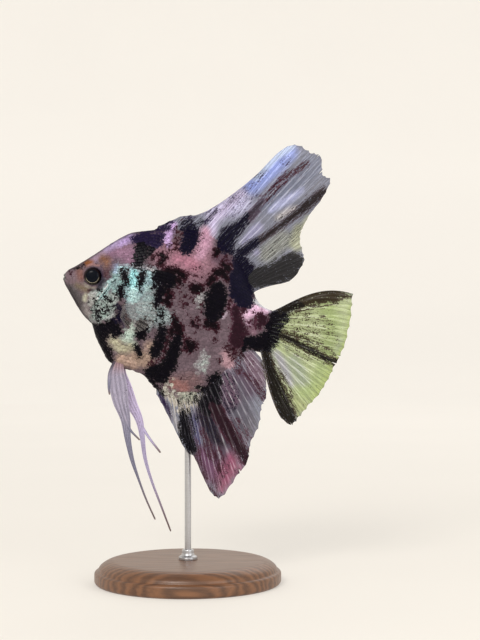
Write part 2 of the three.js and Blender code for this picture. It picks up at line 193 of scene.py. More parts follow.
def add_attributes(mesh, attributes):
    """One number or one colour per point, under each name, from arrays of any grid shape."""
    for name, values in attributes.items():
        values = np.asarray(values, float).reshape(len(mesh.vertices), -1)
        if values.shape[1] == 3:
            colour = np.concatenate([values, np.ones((len(values), 1))], 1)
            layer = mesh.attributes.new(name, "FLOAT_COLOR", "POINT")
            layer.data.foreach_set("color", colour.ravel())
        else:
            layer = mesh.attributes.new(name, "FLOAT", "POINT")
            layer.data.foreach_set("value", values.ravel())


def add_object(name, data):
    """An object with this data, put into the scene."""
    made = bpy.data.objects.new(name, data)
    bpy.context.scene.collection.objects.link(made)
    return made


def add_mesh(name, points, faces, finish):
    """A smooth mesh object from lists of points and faces, with its finish."""
    mesh = bpy.data.meshes.new(name)
    mesh.from_pydata(points, [], faces)
    mesh.shade_smooth()
    mesh.materials.append(finish)
    return add_object(name, mesh)


def add_piece(name, points, corners, flat_map, finish, slot, replaced=(), attributes=None):
    """A piece from points in metres, faces and their flat map, with its body and stand-ins; the slot is not
    used.
    """
    points = points.reshape(-1, 3)
    if signed_volume(points - points.mean(0), corners) < 0:
        corners, flat_map = corners[:, ::-1], flat_map[:, ::-1]
    piece = add_mesh(name, points.tolist(), corners.tolist(), finish)
    add_attributes(piece.data, attributes or {})
    layer = piece.data.uv_layers.new(name="OFBake")
    layer.data.foreach_set("uv", np.ascontiguousarray(flat_map).ravel())
    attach(piece, "root")
    if replaced:
        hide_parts(*replaced)
    print(f"{name}: {len(points)} points, {len(corners)} faces")


def add_closed(name, points, *settings):
    """A piece from rings of points (rows, columns, 3) in metres, mapped by row and column."""
    rows, columns = points.shape[:2]
    corners, places = ring_faces(rows, columns)
    add_piece(name, points, corners, places / np.array([rows - 1, columns]), *settings)


def add_skin(name, rings, *settings):
    """A closed piece from rings in fish millimetres."""
    add_closed(name, in_frame(rings), *settings)


# %% [markdown]
# ## The body's form
# An angelfish is a tall, thin disc: in section it is a lens, widest a little below the middle, with
# keels above and below. Each station gives the back and belly heights, the half width, the level of
# the greatest width and how sharply the sides run to the keels. These are the solids' own stations,
# so the skin lies just inside the solids, by the depth of the scales that will cover it.

# %% Body stations
STATIONS = [  # back of snout, top, belly, half width, level of greatest width, keel power
    (-1, 3.0, -1.5, 1.8, 0.7, 1.0), (2, 5.3, -4.1, 3.1, 0.6, 1.0), (5, 8.4, -7.1, 4.2, 0.6, 1.05),
    (8, 11.6, -10.2, 5.1, 0.6, 1.1), (11, 15.0, -12.6, 5.8, 0.5, 1.15), (14, 18.3, -14.4, 6.4, 0.0, 1.2),
    (17, 21.3, -18.8, 6.9, -0.5, 1.3), (20, 23.7, -22.4, 7.3, -1.0, 1.35), (24, 25.4, -26.3, 7.6, -1.5, 1.4),
    (28, 27.0, -27.8, 7.8, -2.0, 1.45), (34, 29.2, -27.6, 7.8, -2.0, 1.5), (39, 30.6, -28.6, 7.5, -2.0, 1.5),
    (44, 31.4, -31.9, 7.0, -1.5, 1.5), (50, 31.0, -34.5, 6.2, -1.0, 1.5), (56, 28.8, -34.1, 5.3, -0.5, 1.5),
    (61, 25.4, -30.6, 4.5, 0.0, 1.5), (66, 20.4, -24.0, 3.7, 0.0, 1.45), (70, 15.4, -16.8, 3.1, 0.0, 1.4),
    (73, 11.6, -11.4, 2.65, 0.0, 1.35), (76, 9.5, -8.8, 2.3, 0.0, 1.3), (81, 8.6, -8.2, 1.5, 0.0, 1.2),
]
SNOUT_TIP, BODY_END = STATIONS[0][0], STATIONS[-1][0]
SNOUT_ROUNDING = 2.5
SCALE_DEPTH = 0.15  # the skin lies this far inside the solids


def body_point(x, angle):
    """A point of the skin: half width times |cos|^power aside, reach times sin above the widest level.

    Over the first millimetres both shrink as a full, blunt ellipse does, which rounds the snout off.
    """
    table = flow(STATIONS, x)
    top, belly, half, level, power = (table[..., k] for k in range(1, 6))
    closing = (1 - (1 - np.clip((x - SNOUT_TIP) / SNOUT_ROUNDING, 0, 1)) ** 2.4) ** (1 / 2.4)
    c, s = np.cos(angle), np.sin(angle)
    reach = np.where(s > 0, top - level, level - belly) * closing - SCALE_DEPTH
    aside = np.sign(c) * np.abs(c) ** power * np.maximum(half * closing - SCALE_DEPTH, 0.01)
    share = (x - SNOUT_TIP) / (BODY_END - SNOUT_TIP)
    return np.stack([x + SCALE_DEPTH * (1 - 2 * share), aside, level + s * np.maximum(reach, 0.01)], -1)


def body_normal(x, angle):
    """The outward direction there: the cross product of the steps along the body and around it."""
    step = 1e-3
    along = body_point(x + step, angle) - body_point(x - step, angle)
    around = body_point(x, angle + step) - body_point(x, angle - step)
    normal = np.cross(around, along)
    return normal / np.maximum(np.linalg.norm(normal, axis=-1, keepdims=True), 1e-12)


def angle_at(x, z, side):
    """The angle round the body at height z: the arcsine of its share of the reach, on side -1 or 1."""
    table = flow(STATIONS, x)
    top, belly, level = table[..., 1], table[..., 2], table[..., 4]
    share = (z - level) / np.where(z > level, top - level, level - belly)
    angle = np.arcsin(np.clip(share, -1, 1))
    return angle if side > 0 else math.pi - angle


for node in ("head", "trunk", "tail_stalk"):
    low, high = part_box(node)
    print(node, "spans, mm:", [round(1000 * (b - a), 1) for a, b in zip(low, high)])

# %% [markdown]
# ## Marks made of beads
# Marbling is drawn as a maker would inlay it: each blotch is a row of beads, a place and a radius,
# joined by tapering rods. How deep a point lies inside the row, in millimetres, is one formula, so a
# mark keeps its size on any mesh. Noise is added to that depth before it is cut at zero, and the
# edge turns ragged. A cap keeps a patch shallow, so that only the noise shows through, as freckles.

# %% Beads
def depth_in(beads, x, z):
    """Radius less distance to the nearest point of the bead row's axis, in mm; negative outside."""
    beads = np.atleast_2d(np.asarray(beads, float))
    best = beads[0, 2] - np.hypot(x - beads[0, 0], z - beads[0, 1])
    for a, b in zip(beads[:-1], beads[1:]):
        run = b[:2] - a[:2]
        t = np.clip(((x - a[0]) * run[0] + (z - a[1]) * run[1]) / (run @ run), 0, 1)
        away = np.hypot(x - a[0] - t * run[0], z - a[1] - t * run[1])
        best = np.maximum(best, a[2] + t * (b[2] - a[2]) - away)
    return best


# Each ink has two shades: of thin edges and stray specks, and of the thick core of a mark.
INDIGO = (paint(44, 32, 62), paint(26, 18, 46))
NAVY = (paint(30, 24, 40), paint(10, 7, 28))
JET = (paint(20, 17, 20), paint(5, 3, 11))
WINE = (paint(50, 20, 30), paint(12, 3, 8))
MAROON = (paint(68, 36, 50), paint(38, 17, 27))
PLUM = (paint(88, 76, 92), paint(52, 42, 54))
UMBER = (paint(70, 60, 66), paint(38, 31, 33))
BARK = (paint(66, 56, 42), paint(24, 20, 15))
OAK = (paint(70, 62, 48), paint(48, 40, 28))
SOOT = (paint(58, 57, 56), paint(40, 39, 41))
CORE = 1.3  # depth of a mark's core, mm
SOLID = 9.0  # a cap that never bites
FADE = 1.3  # a depth beyond this, in mm, counts no further, so that a few specks stray anywhere

# Each mark: ink, raggedness in mm, cap in mm, then its rows of beads (x, z, radius).
HEAD_MARKS = [
    (JET, 0.5, SOLID, [(21.4, 8.4, 1.5), (22.8, 6.3, 1.7), (23.7, 4.4, 1.1), (23.5, 3, 0.8)],
     [(24.9, 10.7, 0.5)], [(23.3, 9.3, 0.7)], [(22.4, 2.4, 1.3), (22.8, 0, 1.6), (23.4, -2.3, 0.8)]),
    (JET, 0.5, SOLID, [(28.5, 9.9, 1.2), (28.9, 7.3, 1.3), (28.7, 4.4, 1.2)], [(29.4, 2.8, 0.6)],
     [(27.3, 7.7, 0.8)], [(26.7, 10.8, 0.4), (29.1, 10.7, 0.6)]),
    (JET, 0.6, SOLID, [(17.4, -2.7, 0.7), (19.6, -3.8, 1.0)], [(14.4, -3.2, 0.4)], [(13, -4.4, 0.4)],
     [(11.6, -6.7, 0.35)], [(14.4, -7, 0.5), (15.3, -9.3, 0.9), (17.1, -11.1, 1.2)], [(18.4, -5.5, 0.5),
     (20, -7.3, 0.9), (18.7, -8.7, 0.8)], [(16.4, -6.1, 0.5)], [(21.4, -5.3, 0.4)], [(17.8, -13.1, 0.4),
     (12.6, -8.9, 0.25)], [(22.6, -6.1, 0.4)]),
    (JET, 1.2, -0.15, [(14.1, -5.9, 1.0), (17.6, -7.3, 3.3), (20.4, -3.1, 1.8)], [(15.8, -10.5, 2.2)],
     [(19.6, 3, 1.2)], [(22.9, -8.9, 0.9)]),
    (JET, 0.2, SOLID, [(17.8, 1.9, 0.12), (16.9, -0.9, 0.18), (15.2, -5.1, 0.3)]),
    (JET, 0.5, SOLID, [(2.9, 4.3, 0.3), (5.1, 5.9, 0.6), (5.5, 6.8, 0.5)], [(13.8, -0.6, 0.4),
     (15, -1.4, 0.3)]),
    (WINE, 0.3, 0.3, [(1.5, 2.7, 0.5), (1.8, 2, 0.4)], [(10.1, 8.6, 0.3)]),
    # Painted shadow: the gap behind the gill cover, inked navy.
    (NAVY, 0.6, SOLID, [(22.8, -4.7, 0.8), (24.4, -6.7, 1.3), (25.1, -9.5, 1.9)], [(22.1, -10.3, 1.0),
     (23.5, -11.3, 1.8)]),
    (WINE, 0.8, SOLID, [(26.7, -7.3, 0.6), (27.7, -9.9, 1.2), (28.2, -11.4, 0.8)]),
    (JET, 0.7, SOLID, [(15.5, -15.6, 1.9), (19.4, -14.9, 2.6), (22.9, -12.8, 2.8), (24.8, -14.2, 2.1)],
     [(24, -15.8, 1.4)], [(27, -14.8, 0.7)]),
    (JET, 0.6, SOLID, [(17.8, -17.7, 2.9), (20, -20.1, 2.2), (22.1, -22.7, 1.7)], [(20.8, -16.7, 1.7)],
     [(23, -22.3, 1.6), (24, -24.8, 1.7), (25.4, -28, 1.5)]),
]
TRUNK_MARKS = [
    (INDIGO, 0.6, SOLID, [(21.8, 21.3, 1.6), (25.2, 22.5, 3.2), (29.4, 22.7, 3.4), (31.3, 25.5, 1.3)],
     [(25, 25.4, 1.4), (33, 29, 1.4)]),
    (JET, 0.6, SOLID, [(25.7, 19.5, 3.1), (25.8, 15.9, 2.8), (25.9, 12.9, 2.2)], [(29.3, 19.9, 1.9),
     (28.4, 16.5, 1.1)]),
    (WINE, 1.0, 0.0, [(29.9, 17.3, 1.6), (29.8, 13.9, 1.3)], [(23.9, 11.9, 1.0)]),
    (WINE, 0.9, SOLID, [(32.9, 18.3, 1.2), (34.7, 17.5, 1.6), (33.7, 14.7, 1.6)], [(30.8, 15.5, 0.9)],
     [(35.7, 20.3, 0.7)]),
    (NAVY, 0.6, SOLID, [(41.6, 30.6, 3.1), (42.4, 26.7, 3.3), (41.7, 23.4, 3.0)], [(38.4, 30.2, 1.6)]),
    (WINE, 1.0, 0.15, [(36.9, 28.7, 1.9), (38.2, 24.9, 2.0)], [(38.8, 22.3, 1.4)]),
    (WINE, 0.9, -0.5, [(46.7, 29.3, 1.0), (46.1, 24.9, 0.9)], [(36.8, 21.3, 1.6)], [(50.1, 23.9, 0.6)],
     [(35.1, 25.9, 0.8)]),
    (WINE, 0.9, 0.3, [(35.1, 22.4, 1.1)], [(37.6, 33, 0.6)]),
    (JET, 0.5, SOLID, [(34.8, 9.8, 3.0), (38.2, 9.8, 4.3)], [(37, 5, 2.4), (36.8, 1.2, 1.8),
     (36.4, -0.8, 1.5)], [(34.2, 5.8, 1.7)]),
    (WINE, 0.8, SOLID, [(36.9, 13.1, 1.7), (41.3, 13.1, 2.2), (43.7, 12.3, 1.7)], [(41.7, 10.5, 2.1),
     (43.7, 9.5, 1.4)]),
    (WINE, 0.9, SOLID, [(38.8, 1.2, 1.5), (40.8, 1, 1.6), (39.8, 5.4, 1.9)], [(42.3, 7.5, 0.8)]),
    (WINE, 0.8, SOLID, [(47.6, 9.5, 1.3), (49.1, 9.1, 2.5), (51.2, 9.7, 1.8)], [(53.9, 12.5, 1.9),
     (54.1, 15.5, 1.2)]),
    (WINE, 0.8, -0.15, [(44.8, 14.5, 0.8)], [(47, 16.5, 0.6)], [(49, 17.1, 0.4)], [(47.6, 14.1, 0.7)],
     [(50, 13.9, 0.5)], [(52.3, 14.9, 0.6)]),
    (WINE, 1.1, -0.05, [(45.3, 5.6, 1.5), (46.3, 2.4, 1.6)], [(48.6, 4.6, 1.2)], [(45.9, 7.9, 1.2)]),
    (JET, 0.5, SOLID, [(57.5, 10.7, 3.6), (57.9, 7, 4.6), (58, 3, 4.3), (58.3, 0.2, 3.0)],
     [(60.3, 9.3, 1.9)]),
    (WINE, 0.7, SOLID, [(55.1, 17.1, 2.1), (57.7, 17.9, 2.3), (60.4, 15.5, 1.4)], [(54.9, 14.1, 1.8)],
     [(53.3, 23.5, 1.2), (53.7, 25.5, 1.8)], [(57.1, 20.9, 1.8), (59.6, 19.5, 1.9)]),
    (WINE, 1.2, 0.3, [(58, 22.9, 1.6), (60.4, 20.3, 1.2)], [(62.6, 8, 1.3), (63.8, 5, 1.1)],
     [(54.1, 4, 1.4), (53.6, 1.6, 0.9)]),
    (WINE, 0.7, SOLID, [(57.1, -2.4, 2.2), (60.1, -2.8, 2.1)], [(60.9, -4.7, 0.9)], [(61.1, 2.4, 1.3)]),
    (NAVY, 0.6, SOLID, [(62.8, 24, 3.2), (65.6, 20, 4.8), (66.6, 14, 4.9), (68.4, 9.8, 4.0)],
     [(62.2, 17.9, 2.2), (63.8, 10.5, 1.8)]),
    (MAROON, 0.7, SOLID, [(66, 5.4, 2.1), (68.2, 1, 2.2), (69.4, -2, 3.5), (70, -6, 3.5)],
     [(72.4, -2.4, 1.5)], [(69.2, 6.2, 1.8)]),
    (MAROON, 0.8, 0.4, [(72, 0.6, 1.4), (74.2, 2.4, 1.3)]),
    (WINE, 1.0, 0.2, [(67.4, -9.5, 1.7), (70.6, -11.2, 2.2), (72.4, -11.6, 1.8)]),
    (MAROON, 0.6, SOLID, [(76, 5, 2.1), (77.4, 4.2, 2.9), (78.2, 5.2, 1.4)], [(76.4, 1.6, 1.8)],
     [(73, 6, 0.5)]),
    (JET, 0.6, SOLID, [(73.2, -5.4, 2.6), (77, -5.4, 3.0), (82, -2, 3.8)], [(80.4, 2.2, 2.2), (82, 6, 2.7)],
     [(73, -8, 1.6)]),
    (JET, 0.5, SOLID, [(41.5, -9.3, 1.9), (41.4, -13.8, 2.4), (40.8, -18.8, 2.2)]),
    (JET, 0.5, SOLID, [(47.5, -10.7, 2.3), (47.6, -15.8, 2.7), (46.9, -21.8, 3.2)], [(44.5, -25.6, 4.2),
     (41.5, -26.5, 3.1), (46.1, -27.5, 2.0)]),
    (WINE, 0.7, SOLID, [(44.9, -8.5, 1.9), (44.7, -11.3, 1.3), (44.1, -15.4, 1.0), (44.2, -19.2, 0.8)],
     [(43.5, -2.2, 0.9), (44.9, -4.7, 1.7), (46.7, -7.3, 2.5), (48.2, -8.9, 1.7)]),
    (WINE, 1.0, 0.3, [(43.2, -20.4, 1.8), (41.4, -22.4, 2.0)]),
    (WINE, 0.6, SOLID, [(51.8, -11.5, 2.0), (53.5, -12.2, 2.5), (53.3, -14.3, 1.6)], [(51.2, -13.9, 1.1)]),
    (WINE, 0.5, SOLID, [(51.2, -2.6, 0.9), (51.8, -4.5, 1.2), (53.7, -4.5, 1.1)], [(53.9, -2.2, 0.9),
     (52.8, -1.6, 0.7)]),
    (WINE, 0.3, SOLID, [(61.6, -7.5, 0.7), (61.5, -8.5, 0.5)], [(53.1, -25.2, 0.6)], [(53.3, -7.5, 0.5)],
     [(65.4, -15.3, 0.8)], [(49.2, -1, 0.4)]),
    (JET, 0.5, SOLID, [(33.5, -9.8, 2.7), (33.8, -12.8, 2.6), (34.8, -13.8, 1.2)], [(33.2, -18, 1.2),
     (35.2, -20.6, 1.6)]),
    (JET, 1.1, 0.1, [(37.8, -3.3, 2.2), (40.9, -8.5, 1.0)], [(34.4, -6.9, 1.0), (37.4, -8.9, 1.4)]),
    (JET, 0.5, SOLID, [(39, -4.3, 1.0), (40.2, -3.7, 0.6)], [(40, -28.6, 1.2), (44.6, -31.1, 1.1),
     (48, -33.6, 0.8)]),
    (JET, 0.8, SOLID, [(64.2, -23.5, 2.0), (66.2, -21.8, 2.0), (67.4, -23.6, 1.8)], [(62.8, -27.6, 2.0),
     (66, -26.6, 3.4), (67.6, -31, 3.2)]),
    (JET, 1.3, 0.0, [(54.6, -34.8, 1.0), (60.6, -30.8, 2.2)], [(60.4, -28.1, 1.2)]),
    (JET, 0.8, SOLID, [(64.2, -31.8, 3.0), (63, -35.4, 1.2), (66.4, -35.6, 1.8)], [(62.4, -38.6, 1.0)]),
]
DORSAL_MARKS = [
    (INDIGO, 0.6, SOLID, [(28.6, 28.2, 1.4), (31.2, 30.4, 1.8), (33.4, 32, 1.1)], [(38.6, 34.2, 0.6),
     (42, 35.8, 0.6)], [(46.2, 34.8, 0.7), (47.6, 37.2, 0.9), (49.4, 40.4, 0.7)]),
    (NAVY, 0.8, SOLID, [(38.5, 32.2, 1.5), (40.6, 33.8, 1.3)], [(44.2, 33.4, 0.9), (45.2, 34.8, 0.9)]),
    (INDIGO, 0.6, -0.3, [(46, 37.6, 1.6), (49, 41, 1.8), (54.4, 46.8, 2.0), (58.8, 52.6, 1.7),
     (63.8, 59.2, 1.1)]),
    (INDIGO, 0.6, -0.55, [(54, 40, 1.2), (57, 44, 2.5), (60.4, 50, 2.0)], [(70.4, 65.6, 1.4)]),
    (NAVY, 0.6, SOLID, [(55.9, 28.6, 3.8), (56.3, 32.4, 3.4), (60, 37.4, 2.0), (62, 41.4, 1.8)],
     [(58.8, 26.6, 1.7)]),
    (PLUM, 0.7, SOLID, [(61.9, 40.6, 1.9), (63.9, 44.2, 1.7), (65.6, 48.6, 1.3)]),
    (MAROON, 1.0, 0.3, [(66, 48.8, 1.2), (68.9, 54.4, 1.3), (71.9, 59.6, 1.3), (75, 63, 1.2),
     (78, 66.4, 0.9)]),
    (NAVY, 0.6, SOLID, [(63, 27, 2.4), (66.3, 31.2, 2.0), (68.6, 34, 1.3)]),
    (UMBER, 0.5, SOLID, [(67, 32, 1.5), (71, 36.6, 1.5), (74.8, 41, 1.5), (77.3, 44.7, 1.6),
     (81.7, 50.3, 2.2), (87.4, 57.8, 1.9)]),
    (SOOT, 0.7, SOLID, [(69, 18.4, 4.1), (76, 21.4, 4.5), (82.9, 27.2, 5.3)]),
    (JET, 0.8, 0.1, [(68.6, 18.6, 2.6), (73, 20.4, 2.4)]),
    (SOOT, 0.8, -0.5, [(70, 29, 2.6), (74, 32, 2.4), (78, 36, 1.8), (82, 42, 1.2)], [(73, 44, 1.0)]),
]
TAIL_MARKS = [
    (JET, 0.5, SOLID, [(82, 7, 2.9), (83.4, 4, 2.9), (82.8, 0, 3.0), (81.6, -6, 2.5)], [(84.2, 9, 2.5)],
     [(85.6, 6.6, 1.9)]),
    (BARK, 0.5, SOLID, [(83.4, 9, 2.5), (86.8, 12.2, 2.8), (89.6, 14.4, 2.8)], [(97, 21.8, 0.9),
     (104, 22.4, 0.6)], [(103.6, 21.3, 0.9), (108.2, 21.7, 0.8)], [(88, 12, 0.9), (94, 14.6, 0.7),
     (99, 16.8, 0.5)]),
    (OAK, 0.6, SOLID, [(89.4, 14.8, 2.5), (92, 16.4, 2.9), (96, 18.4, 3.1), (101, 20.2, 2.7),
     (104.6, 21.2, 1.9), (108, 21.6, 1.0)]),
    (BARK, 0.4, SOLID, [(85.6, 0.4, 1.5), (91, -0.6, 1.9), (96, -1.8, 1.8), (101, -2.9, 1.6),
     (105, -3.8, 1.7), (109, -4.3, 1.9)]),
    (BARK, 0.5, 0.6, [(86, 2, 1.3), (95, 1.1, 1.4), (98, 0.6, 0.7)]),
    (BARK, 0.5, 0.0, [(98, 0.9, 1.1), (106, 0.2, 0.8)]),
    (BARK, 0.4, 0.25, [(88, 11.2, 1.5), (92.4, 13.9, 1.8), (97.6, 16.4, 1.4), (103, 18.4, 1.0)]),
    (BARK, 0.6, SOLID, [(81.8, -8, 2.1), (85.6, -14.4, 2.4), (89.8, -20.6, 3.3), (95, -27.2, 3.7),
     (98.2, -30.6, 2.5)]),
    (BARK, 0.4, -0.35, [(89, 6, 3.4), (98, 7.0, 4.8), (104, 5.4, 2.6)], [(89, 11, 1.4)], [(90, -3.4, 1.2),
     (98, -5, 1.2)]),
    (BARK, 0.5, 0.3, [(88.2, -13, 0.9), (91.6, -17.6, 1.5), (95.2, -21.4, 1.5)]),
]
ANAL_MARKS = [
    (JET, 0.7, SOLID, [(56.8, -38.2, 1.3), (58.6, -42.4, 2.3), (60.9, -47, 2.7), (64.1, -51, 2.3)]),
    (JET, 0.7, 0.2, [(58.6, -37, 0.9), (62.6, -44, 0.9)]),
    (MAROON, 0.5, SOLID, [(63, -52.4, 0.8), (67.6, -56.6, 0.8), (73, -62.6, 0.7), (78, -65.6, 0.6)]),
    (INDIGO, 0.4, SOLID, [(46.8, -34.2, 0.6), (50.4, -37.6, 0.6), (53, -40.6, 0.4)]),
    (NAVY, 0.8, 0.05, [(65, -35, 2.4), (68, -39.6, 2.3), (71.4, -44.6, 1.8)]),
    (MAROON, 0.6, 0.3, [(66, -43, 1.0), (71, -50, 1.8), (76.4, -55.4, 1.0)], [(64, -47, 0.8),
     (67, -53, 1.4), (72, -60, 1.2)]),
    (MAROON, 0.4, SOLID, [(67.4, -31.6, 2.9), (71, -36, 3.0), (76, -40.6, 2.8), (80.9, -45.1, 2.6),
     (85.4, -48.8, 2.9)]),
    (MAROON, 0.7, -0.2, [(73, -50, 2.4), (78, -53, 1.6), (76, -61, 1.6)], [(78, -36, 1.0), (84, -41, 0.6)],
     [(83, -55, 1.0)]),
    (NAVY, 0.7, -0.1, [(70, -21, 2.2), (73, -27, 3.2), (73.6, -32, 2.0)]),
    (MAROON, 0.5, 0.3, [(81, -19.6, 0.9), (84.8, -24, 1.7)], [(72.4, -13.6, 1.3), (73.2, -16.6, 1.6)],
     [(76, -17.6, 0.6), (79, -19.4, 0.6)]),
    (MAROON, 0.4, -0.5, [(74, -11, 1.6), (80, -17, 2.2)]),
]
MARKS = HEAD_MARKS + TRUNK_MARKS + DORSAL_MARKS + TAIL_MARKS + ANAL_MARKS
print(len(MARKS), "marks of", sum(len(m) - 3 for m in MARKS), "bead rows")


def ink_at(x, z, grain):
    """Depth inside the deepest mark, its edge moved by the grain (0 to 1), and its ink at that depth."""
    depth = np.full(np.shape(x), -9.0)
    ink = JET[1]
    for (edge, core), ragged, cap, *rows in MARKS:
        inside = np.max([depth_in(beads, x, z) for beads in rows], axis=0)
        inside = np.minimum(inside, cap) + 2 * ragged * (grain - 0.5)
        ink = np.where((inside > depth)[..., None], blend(edge, core, ramp(0, CORE, inside)), ink)
        depth = np.maximum(depth, inside)
    return FADE * np.tanh(depth / FADE), ink


# %% [markdown]
# ## Washes under the marks
# Between the dark marks the fish is rose, mauve, salmon and cream, with silver and turquoise where
# the scales hold mirrors. Washes are beads too, but with wide soft edges, and laid one over another
# like glazes. Each says how much it shines, because the mirror patches want a glossier finish. A few
# washes are painted light: painted shadow behind the gill cover and the eye, painted shade along the
# jaw's lower edge, and painted highlights on the cheek's ridge and the tail stalk.

# %% Washes
MAUVE_GREY = paint(112, 95, 104)
# Painted shade: the colour the head's top and belly edges darken towards, where the form turns away from the
# light.
EDGE_SHADE = paint(44, 34, 46)  # along the edges of the head
FIN_GREY = paint(140, 142, 158)

# Each wash: paint, softness and raggedness in mm, shine, then its rows of beads.
HEAD_WASHES = [
    ((147, 111, 136), 3, 0, 0.1, [(16.4, 13.9, 4), (22.4, 14.9, 4)]),
    ((188, 166, 210), 1.6, 0, 0.2, [(12.2, 15.2, 1.4), (16.5, 19.6, 2.2), (20.1, 22.3, 1.6)]),
    ((185, 156, 212), 1.0, 0.3, 0.3, [(17.2, 18.3, 1.0), (19.6, 20.5, 1.2)]),
    ((124, 105, 114), 2, 0, 0.1, [(0.3, 1, 3), (4.4, 1, 4)]),
    ((125, 105, 111), 2, 0, 0.1, [(5.4, -1, 3), (10.6, 0, 4)]),
    ((99, 80, 94), 2, 0, 0.1, [(14.6, 6, 3), (17.5, 9.9, 3)]),
    ((163, 140, 160), 1.4, 0.3, 0.1, [(8.9, 9.8, 1.6), (11.3, 12.5, 1.4)]),
    ((141, 86, 51), 1.1, 0.5, 0.2, [(6.7, 7.9, 1.2), (8.4, 8.6, 0.8)]),
    ((130, 88, 67), 1.4, 0.5, 0.2, [(12.4, 10.8, 1.5), (14.1, 10.9, 1.3), (14.4, 8.7, 0.9)]),
    ((130, 93, 88), 1.2, 0.2, 0.1, [(5, 3.9, 1.5), (6.1, 2, 1.4)]),
    ((120, 106, 89), 1.4, 0.3, 0.2, [(5.4, -1.8, 1.2), (9.3, -1.9, 1.2)]),
    ((98, 91, 94), 1.4, 0.4, 0.1, [(3.3, -3, 1.6), (6.7, -5.8, 2.4), (9.3, -8.5, 2.0)]),
    # Painted shade: a darker line just inside the jaw's lower edge.
    ((77, 72, 74), 1.2, 0.3, 0.1, [(0.5, -2.2, 0.7), (4.2, -5, 1.6), (7.8, -8.8, 1.5), (11.5, -12.2, 0.6)]),
    ((109, 115, 111), 0.6, 0.1, 0.2, [(-0.7, 1.6, 0.4), (-0.4, -0.6, 0.5)]),
    # Painted shadow: this wash and the next darken the skin behind the eye, at the back of its socket.
    ((73, 42, 48), 1.6, 0.3, 0.1, [(15.2, 4.6, 1.2), (15.4, 6.9, 1.0)]),
    ((69, 71, 88), 1.2, 0.4, 0.2, [(14.2, 0.8, 1.0), (14.6, 3, 0.8)]),
    ((30, 25, 46), 0.7, 0.2, 0.1, [(10.8, 3.5, 3.6)], [(14, 1.6, 0.8)], [(8.1, 0.8, 0.4)]),
    ((148, 141, 132), 0.5, 0.3, 0.2, [(7.9, 0.1, 0.25), (9.1, -0.7, 0.45), (11, -1.1, 0.4),
     (12.6, -0.4, 0.2)]),
    ((57, 36, 38), 0.5, 0.3, 0.1, [(10.3, -2.1, 0.5), (12.6, -1.7, 0.5)]),
    ((171, 130, 127), 0.6, 0.2, 0.1, [(7.2, 6.8, 0.2), (9, 7.9, 0.35), (11.7, 8.1, 0.3)]),
    ((154, 146, 146), 1.6, 0.9, 0.3, [(10.8, -8.5, 1.2), (12.5, -10.9, 2.0)]),
    ((200, 198, 177), 1.0, 0.6, 0.3, [(9.7, -4.3, 0.8), (9.8, -5.9, 0.7)]),
    ((136, 174, 173), 1.3, 1.4, 0.9, [(19, 7.1, 1.6), (21, 2, 3.0)]),
    ((133, 171, 171), 0.9, 1.2, 0.8, [(19, 5.4, 1.2), (20, 3, 1.0)]),
    ((131, 138, 174), 0.8, 1.0, 0.8, [(18.1, 9.5, 0.9), (18.2, 7.5, 0.7)]),
    ((169, 187, 181), 1.2, 1.2, 0.8, [(13.8, -2.9, 1.6), (17.5, -7.9, 4.4), (20.2, -2.9, 2.4)],
     [(14.9, -11.9, 1.6)]),
    ((183, 185, 184), 0.6, 0.8, 0.8, [(13, -2.6, 0.7)], [(16.1, -8.1, 0.7)], [(22, -8.9, 0.5),
     (20.5, -11.3, 0.6)], [(14.2, -13.1, 0.4), (18.8, -12.9, 0.5)], [(21.2, -2, 0.7)]),
    # Painted highlight: a white line along the cheek's ridge.
    ((255, 255, 255), 0.25, 0.1, 0.5, [(17, 2.2, 0.2), (16.2, 0, 0.28), (15, -2.7, 0.3),
     (14.3, -4.5, 0.25)]),
    # Painted shadow: the dark gap behind the gill cover.
    ((35, 27, 35), 1.0, 0.6, 0.3, [(23.2, -5.1, 1.0), (25.5, -7.9, 2.6), (27.5, -10.3, 2.2)]),
    ((86, 91, 103), 0.8, 0.8, 0.3, [(26.4, -4.5, 0.8), (27.7, -7.3, 0.7)]),
    ((92, 44, 60), 0.6, 0.4, 0.1, [(27.3, -8.7, 0.5), (28.1, -11.2, 0.7)]),
    ((177, 212, 214), 1.0, 1.0, 0.7, [(18, 3.2, 1.2), (17, -0.6, 1.3), (15.6, -3.1, 1.2)]),
    ((178, 178, 175), 0.8, 1.0, 0.4, [(12.3, -4.1, 1.2), (12.1, -6.9, 1.1)]),
    # Painted shadow: dark grey just behind the eye, at the back of its socket.
    ((47, 45, 54), 0.9, 0.5, 0.1, [(13.6, -0.4, 0.6), (14.9, 2.8, 0.9)]),
    # Painted highlight: a second, thinner white line along the cheek's ridge.
    ((255, 255, 255), 0.25, 0.1, 0.5, [(17, 2.2, 0.12), (16.2, 0, 0.2), (15, -2.7, 0.22),
     (14.3, -4.5, 0.16)]),
]
